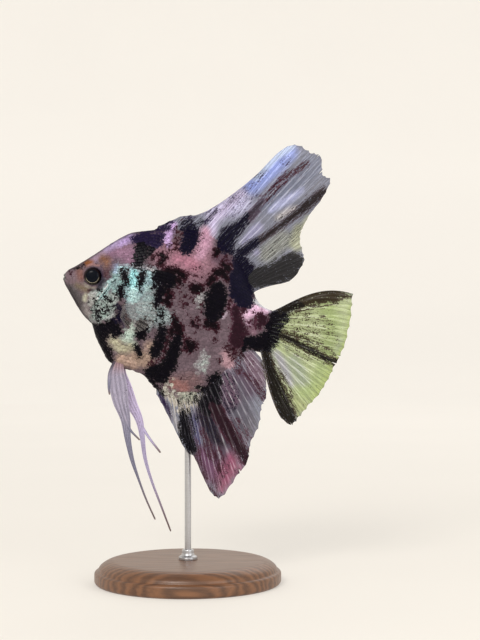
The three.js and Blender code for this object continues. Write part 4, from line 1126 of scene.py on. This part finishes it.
# %% Eyes
def make_eye_finish():
    """Colour from the mesh, finely grained, under a clear coat; the gold arcs are metallic."""
    finish, tree, shader = new_finish("wet eye", Roughness=0.35, Specular_IOR_Level=0.04,
                                      Coat_Weight=0.10, Coat_Roughness=0.03)
    tint, gold = stored(tree, "Color", "tint")[0], stored(tree, "Fac", "gold")[0]
    grain = spread(tree, noise(tree, here(tree), 3200, 2), 0.3, 0.7, 0.72, 1.2)
    plug(tree, toned(tree, tint, grain), shader["Base Color"])
    plug(tree, calculate(tree, "MULTIPLY", gold, 0.8), shader["Metallic"])
    return finish


def eye_form(side):
    """A turned dome: outwards by depth x sqrt(1 - (r / radius)^4), and a shallow back behind it."""
    out = np.concatenate([np.linspace(0.004, 0.93, 44), 0.93 + 0.07 * np.sin(np.linspace(0.1, 1.57, 8))])
    dome = np.sqrt(np.clip(1 - out**4, 0, 1))
    r = EYE["radius"] * np.concatenate([out, [0.8, 0.4, 0.01]])
    y = EYE["y"] + EYE["depth"] * np.concatenate([0.9 * dome + 0.1 * (1 - out**2), [-0.4, -0.7, -0.8]])
    turn = 2 * math.pi * (np.arange(120) + 0.5) / 120
    r, turn = np.meshgrid(r, turn, indexing="ij")
    y = np.broadcast_to(y[:, None], r.shape)
    rings = np.stack([EYE["x"] + r * np.cos(turn), side * y, EYE["z"] + r * np.sin(turn)], -1)
    return rings, r, np.degrees(turn)


def eye_colours(r, turn):
    """Pupil to 2.45 mm, a thin pale arc along its lower edge and a fainter one further out."""
    def arc(centre, width, start, end):
        angle = np.where(turn < 90, turn + 360, turn)
        return hump(r, centre, width) * ramp(start, start + 25, angle) * (1 - ramp(end - 25, end, angle))
    tint = blend(paint(4, 8, 18), paint(22, 14, 17), ramp(2.4, 2.55, r))
    pale = np.clip(0.75 * arc(2.5, 0.08, 200, 375) + 0.5 * arc(3.12, 0.12, 200, 330), 0, 1)
    return {"tint": blend(tint, paint(206, 196, 172), pale), "gold": 0.6 * pale}


EYE_FINISH = make_eye_finish()
for side, node_name in ((-1, "eye_left"), (1, "eye_right")):
    rings, r, turn = eye_form(side)
    colours = eye_colours(r, turn)
    add_skin(node_name.replace("eye", "eyeball"), rings, EYE_FINISH, "eye", (node_name,), colours)

# %% [markdown]
# ## Fins
# A fin is a fan of rays with skin stretched between. The key rays follow the solids'; a cubic flows
# between them. Each ray is a rounded ridge that forks once and then again towards the margin. Folding
# does that: take the distance to the ray's middle, subtract the fork's half opening, and the distance
# to that is the distance to the nearer branch.

# %% Rays and fans
DORSAL_RAYS = [  # root x, tip x, tip z, bow; the root lies on the back
    (28.6, 29.2, 28.8, 0), (33, 36.6, 34.6, 0), (38, 44.4, 38.2, 0), (43, 52.4, 46.6, 0),
    (47, 60.4, 57.4, 0), (50, 67.2, 69.0, 0.4), (52.5, 72.8, 72.9, 0.6), (55.5, 78.6, 71.4, 0.4),
    (58.5, 82.6, 70.8, 0), (61, 85.4, 64.4, 0), (62.8, 88.8, 62.8, 0), (64.4, 87.5, 55.3, 0),
    (65.8, 84.2, 47.2, 0), (67, 83.0, 39.0, 0), (68, 86.0, 33.0, 0.4), (69, 86.9, 29.0, 0.6),
    (69.8, 83.8, 21.6, 0.4), (70.4, 76.6, 17.7, 0), (70.9, 72.2, 15.4, 0),
]
ANAL_RAYS = [  # root x, tip x, tip z, bow; the root lies on the belly
    (44.4, 45.3, -34.0, 0), (47, 50.4, -39.3, 0), (50, 56.2, -45.8, 0), (53, 62.1, -52.2, 0),
    (55, 65.8, -53.8, 0), (56.8, 71.3, -60.5, 0), (58.6, 76.1, -65.5, 0), (60.6, 79.9, -65.7, 0),
    (62.6, 83.4, -56.8, 0), (65, 85.9, -49.6, 0), (67, 85.3, -42.4, 0), (69, 86.7, -35.6, 0),
    (70.6, 85.9, -28.6, 0), (72.2, 86.4, -24.2, 0), (73.6, 84.4, -17.0, 0), (75.2, 81.4, -11.0, 0),
    (76.6, 78.4, -8.8, 0),
]
TAIL_RAYS = [  # root x, root z, tip x, tip z, bow
    (79.0, 7.7, 108.3, 22.8, 3.6), (79.4, 5.6, 109.6, 15.5, 2.0), (79.7, 3.4, 110.3, 8.0, 0.7),
    (79.9, 1.2, 110.1, 0.5, 0), (79.9, -0.8, 108.9, -5.4, 0), (79.8, -2.6, 107.7, -11.2, 0),
    (79.7, -4.2, 105.9, -17.4, 0), (79.6, -5.4, 103.0, -23.4, -0.2), (79.5, -6.4, 100.6, -28.6, -0.5),
    (79.4, -6.9, 98.4, -32.0, -0.8), (79.4, -7.3, 93.8, -30.4, -1.1),
]
PECTORAL_RAYS = [
    (23.2, -4.0, 35.2, 0.6, 0), (23.4, -5.0, 38.2, -3.4, 0), (23.7, -6.2, 37.8, -8.2, 0),
    (24.1, -7.4, 34.2, -12.0, 0), (24.4, -8.4, 30.4, -14.0, 0.3), (24.6, -9.2, 27.6, -13.6, 0.5),
]
FIN_INSET = 1.6  # how far a root lies inside the body


def rooted(rays, column, inset):
    """Key rays with their roots' heights read off the back (column 1) or the belly (column 2)."""
    rays = np.array(rays, float)
    height = flow(STATIONS, rays[:, 0])[:, column] + inset
    return np.column_stack([rays[:, 0], height, rays[:, 1:]])


def fan_point(rays, along, out):
    """Root plus `out` of the way to the tip, bowed aside by 5.4 bow out^1.5 (1 - out)."""
    rays = np.asarray(rays, float)
    table = flow(np.column_stack([np.linspace(0, 1, len(rays)), rays]), along)
    root_x, root_z, tip_x, tip_z, bow = (table[..., k] for k in range(1, 6))
    dx, dz = tip_x - root_x, tip_z - root_z
    length = np.hypot(dx, dz)
    lift = 5.4 * bow * out**1.5 * (1 - out) / length
    return root_x + dx * out - dz * lift, root_z + dz * out + dx * lift, length


def ray_ridge(phase, out, first_fork, second_fork):
    """1 on a ray and 0 between rays; the two folds open the forks."""
    distance = np.abs(phase % 1 - 0.5)
    distance = np.abs(distance - 0.24 * ramp(first_fork, 1.15, out))
    distance = np.abs(distance - 0.11 * ramp(second_fork, 1.2, out))
    return hump(distance, 0, 0.17 - 0.09 * ramp(first_fork - 0.1, 0.9, out))


DORSAL_FAN = rooted(DORSAL_RAYS, 1, -FIN_INSET)
ANAL_FAN = rooted(ANAL_RAYS, 2, FIN_INSET)
print("key rays:", len(DORSAL_FAN), "dorsal,", len(ANAL_FAN), "anal,", len(TAIL_RAYS), "tail")

# %% [markdown]
# ## The fins' finish
# Colour comes from the same marks and washes as the body's, with edges drawn out along the rays. The
# rays stay nearly opaque and the skin between them lets a little light through, most of all near the
# margin and in the pectoral fins. Ridges too fine for the mesh are bump.

# %% Fin finish
def make_fin_finish(name, clearness):
    """Streaked marbling; alpha 1 on the rays, less by `clearness` where the mesh says it is clear."""
    finish, tree, shader = new_finish(name, Roughness=0.45, Coat_Roughness=0.2, **WET)
    streaks = use_group(tree, STREAKS, {"Lie": stored(tree, "Vector", "lie")[0]})
    fine = streaks["Fine"]
    ray, clear = stored(tree, "Fac", "ray", "clear")
    colour, mask, shine = lay_marbling(tree, streaks["Streak"], 5.0)
    tone = calculate(tree, "MULTIPLY_ADD", ray, 0.30, spread(tree, fine, 0.3, 0.7, 0.76, 1.0))
    bone = calculate(tree, "MULTIPLY", shine, calculate(tree, "POWER", ray, 3.0))
    bone = calculate(tree, "MULTIPLY", bone, spread(tree, fine, 0.42, 0.58, 0.1, 0.8))
    bone = calculate(tree, "MULTIPLY", bone, spread(tree, mask, 0, 1, 1.0, 0.3))
    boned = mix_colours(tree, bone, toned(tree, colour, tone), (0.68, 0.68, 0.72, 1))
    plug(tree, boned, shader["Base Color"])
    open_skin = calculate(tree, "MULTIPLY", clear, clearness)
    veiled = calculate(tree, "MULTIPLY", open_skin, spread(tree, mask, 0, 1, 1.0, 0.35))
    plug(tree, calculate(tree, "SUBTRACT", 1.0, veiled), shader["Alpha"])
    add_bump(tree, shader, 0.5, 0.00015, calculate(tree, "MULTIPLY_ADD", fine, 0.6, ray))
    return finish


FIN_FINISH = make_fin_finish("fin skin", 0.30)
PECTORAL_FINISH = make_fin_finish("clear fin skin", 0.97)
THREAD_FINISH = make_fin_finish("fin threads", 0.15)
print("fin finishes:", FIN_FINISH.name, PECTORAL_FINISH.name, THREAD_FINISH.name)


# %% [markdown]
# ## Median fins
# Dorsal, anal and tail fins stand in the fish's mid-plane and sway a little. Each is one closed skin:
# every ring runs along one face and back along the other, and the rings step outwards from the root.
# Between rays the margin is nicked, and here and there a nick is deeper, as on any living fish.

# %% Building a fin
def fin_rings(rays, sway, half_at, ray_count, forks, size, nick=0.45):
    """Rings of a fin: place from the fan, aside = sway +- half thickness (thin skin plus ridge).

    The margin is cut back between rays by up to `nick` mm times noise, and deeper where it is torn.
    """
    columns, rows = size
    share = np.linspace(0, 1, columns)
    there_and_back = np.concatenate([share, share[::-1]])
    out, along = np.meshgrid(np.linspace(0, 1, rows), there_and_back, indexing="ij")
    face = np.concatenate([-np.ones(columns), np.ones(columns)])
    length = fan_point(rays, along, out)[2]
    phase = along * ray_count
    between = np.abs(phase % 1 - 0.5) * 2
    depth = nick * (0.25 + 1.5 * mottle(phase * 0.9, phase * 0 + 5, 6)) * (1 - between**2) * -1
    tears = -2.2 * hump(phase % 1, 0.0, 0.07) * (mottle(np.floor(phase + 0.5) * 3.7, phase * 0, 7) > 0.72)
    reach = out * (1 + (depth + tears) * ramp(0.5, 1, out) / length)
    x, z, length = fan_point(rays, along, reach)
    ridge = ray_ridge(phase, out, *forks)
    skin_half, ridge_half = half_at(out)
    y = sway(along, out) + face * (skin_half + ridge_half * ridge)
    return np.stack([x, y, z], -1), along, out, length, ridge


def fin_colours(rings, along, out, length, ridge, lie_width, margin=0.6):
    """Washes and marks at each point, their edges moved by noise drawn out along the rays."""
    x, z = rings[..., 0], rings[..., 2]
    across, up = along * lie_width, out * length
    grain = 0.7 * mottle(across * 1.1, up * 0.16 + 30, 0) + 0.3 * mottle(across * 2.6, up * 0.5, 5)
    wash, shine = wash_at(x, z, grain, FIN_GREY, TRUNK_WASHES + FIN_WASHES)
    depth, ink = ink_at(x, z, grain)
    clear = (1 - 0.8 * ridge) * (0.35 + 0.65 * ramp(margin, 1, out))
    lie = np.stack([across, up, 0 * up], -1)
    return {"wash": wash, "shine": shine, "ink": ink, "depth": depth, "ray": ridge, "clear": clear,
            "lie": lie}


def add_fan(node_name, rings, finish, slot, colours):
    """A fin in the place of its solid."""
    add_skin(node_name.replace("_fin", "_fan"), rings, finish, slot, (node_name,), colours)


def thin_out(out):
    """Half thickness of skin and ridge, mm: 0.62 and 0.2 at the root, 0.10 and 0.12 at the margin."""
    return 0.10 + 0.52 * (1 - out) ** 1.6, 0.12 + 0.08 * (1 - out)


def make_sway(power, lean, swing, waves, start):
    """How far a fin stands aside, mm: out^power (lean + swing sin(2 pi waves along + start))."""
    return lambda along, out: out**power * (lean + swing * np.sin(2 * math.pi * waves * along + start))


MEDIAN_FINS = {  # key rays, sway, ray count, forks, columns and rows, width across the lie in mm
    "dorsal_fin": (DORSAL_FAN, make_sway(2, 0, 1.3, 1.1, 0.6), 37, (0.42, 0.68), (430, 72), 96),
    "anal_fin": (ANAL_FAN, make_sway(2, -0.7, -0.9, 0.9, 0), 31, (0.42, 0.68), (372, 72), 84),
    "tail_fin": (np.array(TAIL_RAYS), make_sway(1.6, -1.6, -0.9, 1, 0.8), 18, (0.22, 0.55), (260, 72), 56),
}
for node_name, (rays, sway, ray_count, forks, size, lie_width) in MEDIAN_FINS.items():
    rings, *places = fin_rings(rays, sway, thin_out, ray_count, forks, size)
    add_fan(node_name, rings, FIN_FINISH, node_name, fin_colours(rings, *places, lie_width))

# %% [markdown]
# ## Pectoral fins
# A pectoral fin is the clearest fin of all: a small fan held off the flank, all rays and hardly any
# colour, but for a dusky patch where it joins the body.

# %% Pectoral fins
PECTORAL = {"root_y": 6.9, "spread": 6.2}


def pectoral_rings(side):
    """The fan's place, aside = root + spread out (1 - out / 4), on one side."""
    def half(out):
        return 0.05 + 0.25 * (1 - out) ** 3, 0.08 + 0.08 * (1 - out)

    def sway(along, out):
        return side * (PECTORAL["root_y"] + PECTORAL["spread"] * out * (1 - 0.25 * out))
    return fin_rings(np.array(PECTORAL_RAYS), sway, half, 11, (0.35, 0.7), (150, 40), 0.5)


for side, node_name in ((-1, "pectoral_fin_left"), (1, "pectoral_fin_right")):
    rings, along, out, length, ridge = pectoral_rings(side)
    colours = fin_colours(rings, along, out, length, ridge, 20, 0.1)
    base = ramp(0.16, 0.0, out)
    lower = ramp(0.72, 0.95, along) * (1 - ramp(0.7, 1, out))
    colours["wash"] = blend(paint(214, 208, 204), paint(70, 52, 84), np.maximum(base, lower))
    colours["depth"] = np.full(out.shape, -3.0)
    colours["clear"] = (1 - 0.06 * ridge) * (1 - 0.6 * np.maximum(base, 0.5 * lower))
    add_fan(node_name, rings, PECTORAL_FINISH, "pectoral_fin", colours)

# %% [markdown]
# ## Pelvic fins
# The pelvic fins are the fish's feelers: a stiff spine in front, then a narrow web whose rays draw
# out into one long thread and one short one. Each part is a flattened tube along a short list of
# stops, with grooves between its rays where it is wide.

# %% Ribbons along stops
LEFT_PELVIC = {  # x, y, z, half width
    "web": [
        (28.0, -1.5, -25.6, 1.9), (28.7, -1.9, -30, 2.9), (30.7, -2.4, -35, 3.4), (33.0, -3.0, -40, 3.0),
        (36.5, -3.7, -46, 1.9), (39.4, -4.6, -53, 1.2), (43.0, -5.6, -60, 0.8), (47.6, -6.7, -66.8, 0.45),
        (52.3, -7.7, -73.2, 0.35), (57.5, -8.6, -79.4, 0.3),
    ],
    "thread": [
        (34.4, -3.6, -42.6, 0.6), (37.0, -3.9, -46.5, 0.6), (39.6, -4.4, -49.6, 0.45),
        (43.9, -4.9, -52.2, 0.3),
    ],
    "spine": [
        (27.0, -1.5, -25.8, 0.9), (26.2, -1.9, -30.6, 0.8), (27.0, -2.4, -35.4, 0.55),
        (28.1, -2.7, -38.6, 0.3),
    ],
}
RIGHT_PELVIC = {
    "web": [
        (28.8, 1.5, -25.6, 1.6), (29.7, 1.9, -30, 2.3), (33.0, 2.4, -35, 2.6), (36.7, 3.0, -40, 2.2),
        (41.2, 3.7, -45.4, 1.5), (44.0, 4.6, -51.4, 1.0), (47.3, 5.6, -59.5, 0.7), (51.9, 6.7, -67.3, 0.5),
        (58.1, 7.7, -76.1, 0.4), (64.2, 8.6, -84.7, 0.3),
    ],
    "thread": [
        (38.4, 3.6, -42.2, 0.7), (41.2, 3.9, -45.9, 0.7), (46.4, 4.6, -51.0, 0.5), (52.5, 5.2, -55.8, 0.35),
    ],
    "spine": [
        (28.2, 1.5, -25.8, 0.9), (28.8, 1.9, -30.6, 0.8), (30.2, 2.4, -35.2, 0.55), (32.0, 2.7, -38.2, 0.3),
    ],
}


def ribbon_rings(stops, steps, columns, grooves):
    """Rings along the stops: w cos(turn) across the run and h |sin(turn)| aside, grooved by rays."""
    rows = np.column_stack([np.linspace(0, 1, len(stops)), stops])
    at = np.linspace(0, 1, steps)
    _, x, y, z, half = flow(rows, at).T
    run = flow(rows, np.clip(at + 0.01, 0, 1)) - flow(rows, np.clip(at - 0.01, 0, 1))
    run = unit(np.stack([run[:, 1], 0 * at, run[:, 3]], -1))
    turn = 2 * math.pi * (np.arange(columns) + 0.5) / columns - math.pi / 2
    across = np.sin(turn) * np.ones((steps, 1))
    wide = (np.maximum(half, 0.16) * ramp(-0.02, 0.01, 1 - at))[:, None]
    thick = 0.16 + 0.12 * (1 - at[:, None]) + 0.02 * np.cos(across * math.pi * grooves) * (wide > 0.5)
    px = x[:, None] - run[:, 2:3] * across * wide
    pz = z[:, None] + run[:, 0:1] * across * wide
    py = y[:, None] + np.sign(np.cos(turn)) * np.abs(np.cos(turn)) ** 0.5 * thick
    ridge = 0.5 + 0.5 * np.cos(across * math.pi * grooves)
    return np.stack([px, py, pz], -1), ridge, at[:, None] + 0 * across, across


def pelvic_colours(tints, pink, dark, ridge, at, across, length):
    """From the fin's tint to its thread's and its tip's; at the body as pink and as dark as asked."""
    tint, thread, tip = tints
    wash = blend(tint, thread, ramp(0.30, 0.62, at))
    wash = blend(wash, tip, ramp(0.7, 1.0, at))
    wash = blend(wash, paint(158, 116, 112), pink * ramp(0.16, 0.0, at))
    wash = blend(wash, paint(48, 40, 50), dark * ramp(0.5, 0.1, at))
    lie = np.stack([across * 3, at * length, 0 * at], -1)
    quiet = {"ink": np.broadcast_to(NAVY[0], wash.shape), "depth": 0 * at - 1.1, "shine": 0 * at}
    return {"wash": wash, "ray": ridge, "clear": 1 - ridge, "lie": lie, **quiet}


PELVICS = {  # stops of the parts, then the tints of the fin, of its thread and of the tip
    "left": (LEFT_PELVIC, (paint(168, 161, 181), paint(132, 131, 152), paint(128, 112, 112))),
    "right": (RIGHT_PELVIC, (paint(216, 201, 236), paint(196, 186, 222), paint(136, 116, 116))),
}
PELVIC_PARTS = {  # steps, columns, grooves, length in mm, how pink and how dark it is at the body
    "web": (220, 64, 4, 66, 0.7, 0.0),
    "thread": (60, 24, 1, 14, 0.0, 0.0),
    "spine": (50, 24, 1, 13, 0.3, 0.8),
}
for side, (stops, tints) in PELVICS.items():
    for part, (steps, columns, grooves, length, pink, dark) in PELVIC_PARTS.items():
        rings, ridge, at, across = ribbon_rings(stops[part], steps, columns, grooves)
        colours = pelvic_colours(tints, pink, dark, ridge, at, across, length)
        replaced = (f"pelvic_fin_{side}",) if part == "web" else ()
        add_skin(f"pelvic_{part}_{side}", rings, THREAD_FINISH, "pelvic_fin", replaced, colours)

# %% [markdown]
# ## The stand
# A museum stand should not compete: a low turned base in oiled walnut, one slim brushed steel rod and
# a small collar where it enters the wood. All three are turned forms, a profile spun round the rod's
# axis, with the sizes read off the solids.

# %% Stand finishes
def make_walnut():
    """Growth rings cut by a board's face: even bands bent by noise, half and half with long fibres."""
    finish, tree, shader = new_finish("oiled walnut", Coat_Weight=0.25, Coat_Roughness=0.3)
    board = stretched(tree, here(tree), (1.0, 4.4, 4.4))
    values = {"Vector": board, "Scale": 26, "Distortion": 9.0, "Detail": 3.0, "Detail Scale": 1.2}
    bands = add_node(tree, "TexWave", values, wave_type="BANDS", bands_direction="Y").outputs["Fac"]
    fibres = noise(tree, stretched(tree, here(tree), (60, 2400, 2400)), 1, 2)
    grain = calculate(tree, "MULTIPLY_ADD", bands, 0.5, calculate(tree, "MULTIPLY", fibres, 0.5))
    wood = colour_run(tree, grain, (0, opaque(62, 38, 24)), (1, opaque(134, 90, 58)))
    plug(tree, wood, shader["Base Color"])
    plug(tree, spread(tree, fibres, 0.3, 0.7, 0.5, 0.38), shader["Roughness"])
    add_bump(tree, shader, 0.3, 0.0002, grain)
    return finish


def make_steel():
    """Bright steel with brush lines round it: noise packed tight up the rod and wide around it."""
    finish, tree, shader = new_finish("brushed steel", Metallic=1.0)
    lines = noise(tree, stretched(tree, here(tree), (300, 300, 9000)), 1, 2)
    colour = mix_colours(tree, lines, opaque(168, 168, 172), opaque(206, 206, 208))
    plug(tree, colour, shader["Base Color"])
    plug(tree, spread(tree, lines, 0.2, 0.8, 0.26, 0.42), shader["Roughness"])
    add_bump(tree, shader, 0.2, 0.00005, lines)
    return finish


WALNUT, STEEL = make_walnut(), make_steel()
print("stand finishes:", WALNUT.name, "and", STEEL.name)


# %% Turned stand pieces
def smooth_profile(corners, steps):
    """A profile with its corners eased: each stretch is walked in steps, then averaged with a kernel."""
    gaps = np.hypot(*np.diff(corners, axis=0).T)
    at = np.concatenate([[0], np.cumsum(gaps)])
    walk = np.linspace(0, at[-1], steps)
    line = np.stack([np.interp(walk, at, corners[:, k]) for k in range(2)], -1)
    padded = np.pad(line, ((2, 2), (0, 0)), mode="edge")
    eased = sum(w * padded[k:k + steps] for k, w in enumerate((0.1, 0.24, 0.32, 0.24, 0.1)))
    eased[0], eased[-1] = line[0], line[-1]
    return eased


def spun(profile, turn, centre=(0, 0)):
    """Rings of a profile of (radius, height) in metres, turned to each angle round an upright axis."""
    radius, height = profile[:, 0:1], profile[:, 1:2]
    x, y = centre[0] + radius * np.cos(turn), centre[1] + radius * np.sin(turn)
    return np.stack([x, y, height + 0 * turn], -1)


TURNED = [  # node, material, finish, steps, columns, then corners as shares of radius and height
    ("stand_base", "wood", WALNUT, 240, 160, [
        (0.0005, 0), (0.975, 0), (1.0, 0.1), (1.0, 0.489), (0.985, 0.544), (0.955, 0.567), (0.958, 0.633),
        (0.945, 0.733), (0.91, 0.844), (0.86, 0.944), (0.80, 0.994), (0.74, 1.0), (0.0005, 1.0),
    ]),
    ("stand_rod", "steel", STEEL, 90, 48, [(0.008, 0), (1, 0), (1, 1), (0.008, 1)]),
    ("stand_collar", "steel", STEEL, 90, 64, [
        (0.36, 0.0), (1.0, 0.0), (1.0, 0.26), (0.92, 0.34), (0.72, 0.42), (0.64, 0.62), (0.62, 0.9),
        (0.58, 1.0), (0.36, 1.0),
    ]),
]
rod_axis = middle_of("stand_rod")[:2]
for node, material, finish, steps, columns, corners in TURNED:
    low, high = (np.array(v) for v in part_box(node))
    reach = np.array([(high - low)[0] / 2, (high - low)[2]])
    profile = smooth_profile(np.array([0, low[2]]) + reach * np.array(corners), steps)
    turn = 2 * math.pi * (np.arange(columns) + 0.5) / columns
    add_closed(f"{node}_{material}", spun(profile, turn, rod_axis), finish, f"stand_{material}", (node,))

# %% [markdown]
# ## Backdrop, light and camera
# The fish stands in a wide pale bowl: a flat floor whose far rim turns up into a wall, so that no
# sharp horizon shows from any side. One soft light above and in front does most of the work, a weaker
# one fills from the other side, a third lights the edges from behind, and a pale sky evens out the
# rest. The camera stands square to the fish's left flank with a long lens.

# %% Backdrop
def make_backdrop_finish():
    """Matt cream card, faintly cloudy, with a glow by distance that evens out the falling light.

    Under the key light, 0.3 to 1.6 m in front, the card is toned down so that it doesn't burn out.
    """
    finish, tree, shader = new_finish("cream card", Roughness=0.9, Specular_IOR_Level=0.1,
                                      Emission_Strength=0.60)
    ahead = add_node(tree, "SeparateXYZ", {0: here(tree)}).outputs["Y"]
    near, far = spread(tree, ahead, -0.3, -0.9, 0.0, 1.0), spread(tree, ahead, -1.2, -1.8, 1.0, 0.0)
    bright = calculate(tree, "MULTIPLY_ADD", calculate(tree, "MULTIPLY", near, far), -0.32, 1.0)
    card = mix_colours(tree, noise(tree, here(tree), 6, 2), opaque(188, 183, 175), opaque(193, 188, 180))
    plug(tree, toned(tree, card, bright), shader["Base Color"])
    away = add_node(tree, "VectorMath", {0: here(tree)}, operation="LENGTH").outputs["Value"]
    greys = ((0.0, 207), (0.6, 235), (0.82, 241), (1.0, 231))
    stops = [(place, opaque(grey, grey - 2, grey - 6)) for place, grey in greys]
    glow = colour_run(tree, calculate(tree, "MULTIPLY", away, 0.4), *stops)
    plug(tree, toned(tree, glow, bright), shader["Emission Color"])
    return finish


def add_backdrop(columns=96):
    """A flat disc out to 1.3 m that turns up through a quarter circle into a wall 2.4 m high."""
    bend = np.linspace(0, math.pi / 2, 24)
    radius = np.concatenate([[0.001, 0.4, 0.8, 1.3], 1.3 + 0.9 * np.sin(bend[1:]), [2.2]])
    height = np.concatenate([[0, 0, 0, 0], 0.9 * (1 - np.cos(bend[1:])), [2.4]]) + cad_low[2]
    turn = np.linspace(0, 2 * math.pi, columns, endpoint=False)
    rings = spun(np.column_stack([radius, height]), turn)
    top_end = columns // 2 - 1  # faces that would close the bowl's mouth
    faces = ring_faces(len(radius), columns)[0][:-top_end]
    backdrop = add_mesh("backdrop", rings.reshape(-1, 3).tolist(), faces.tolist(), make_backdrop_finish())
    return backdrop


backdrop = add_backdrop()
print("backdrop faces:", len(backdrop.data.polygons))


# %% Lights and sky
MIDDLE = Vector((np.array(cad_low) + np.array(cad_high)) / 2)


def add_soft_light(name, place, size, watts, tint):
    """A square area light at a place, turned to face the middle of the model."""
    light = bpy.data.lights.new(name, "AREA")
    light.size = size
    light.energy = watts
    light.color = tint
    lamp = add_object(name, light)
    lamp.location = place
    lamp.rotation_euler = (MIDDLE - lamp.location).to_track_quat("-Z", "Y").to_euler()


add_soft_light("key light", (-0.30, -0.95, 0.75), 0.4, 7, (1.0, 0.98, 0.95))
add_soft_light("fill light", (0.8, -0.8, 0.4), 0.6, 3, (0.95, 0.97, 1.0))
add_soft_light("back light", (0.3, 0.9, 0.9), 0.8, 2, (1.0, 1.0, 1.0))
sky = bpy.data.worlds.new("pale sky")
sky.use_nodes = True
glow_of_sky = sky.node_tree.nodes["Background"].inputs
glow_of_sky["Color"].default_value = opaque(250, 246, 240)
glow_of_sky["Strength"].default_value = 0.5
bpy.context.scene.world = sky
bpy.context.scene.view_settings.view_transform = "Standard"

# %% Camera
FROM_SNOUT = np.array([0.0671, -0.581, -0.0160])  # back, out from the mid-plane and down, metres
lens = bpy.data.cameras.new("camera")
lens.lens = 85
lens.sensor_width = 36
lens.clip_start = 0.01
camera = add_object("camera", lens)
camera.location = SNOUT + FROM_SNOUT
camera.rotation_euler = (math.pi / 2, 0, 0)
bpy.context.scene.camera = camera
print("camera at, m:", [round(v, 4) for v in camera.location])
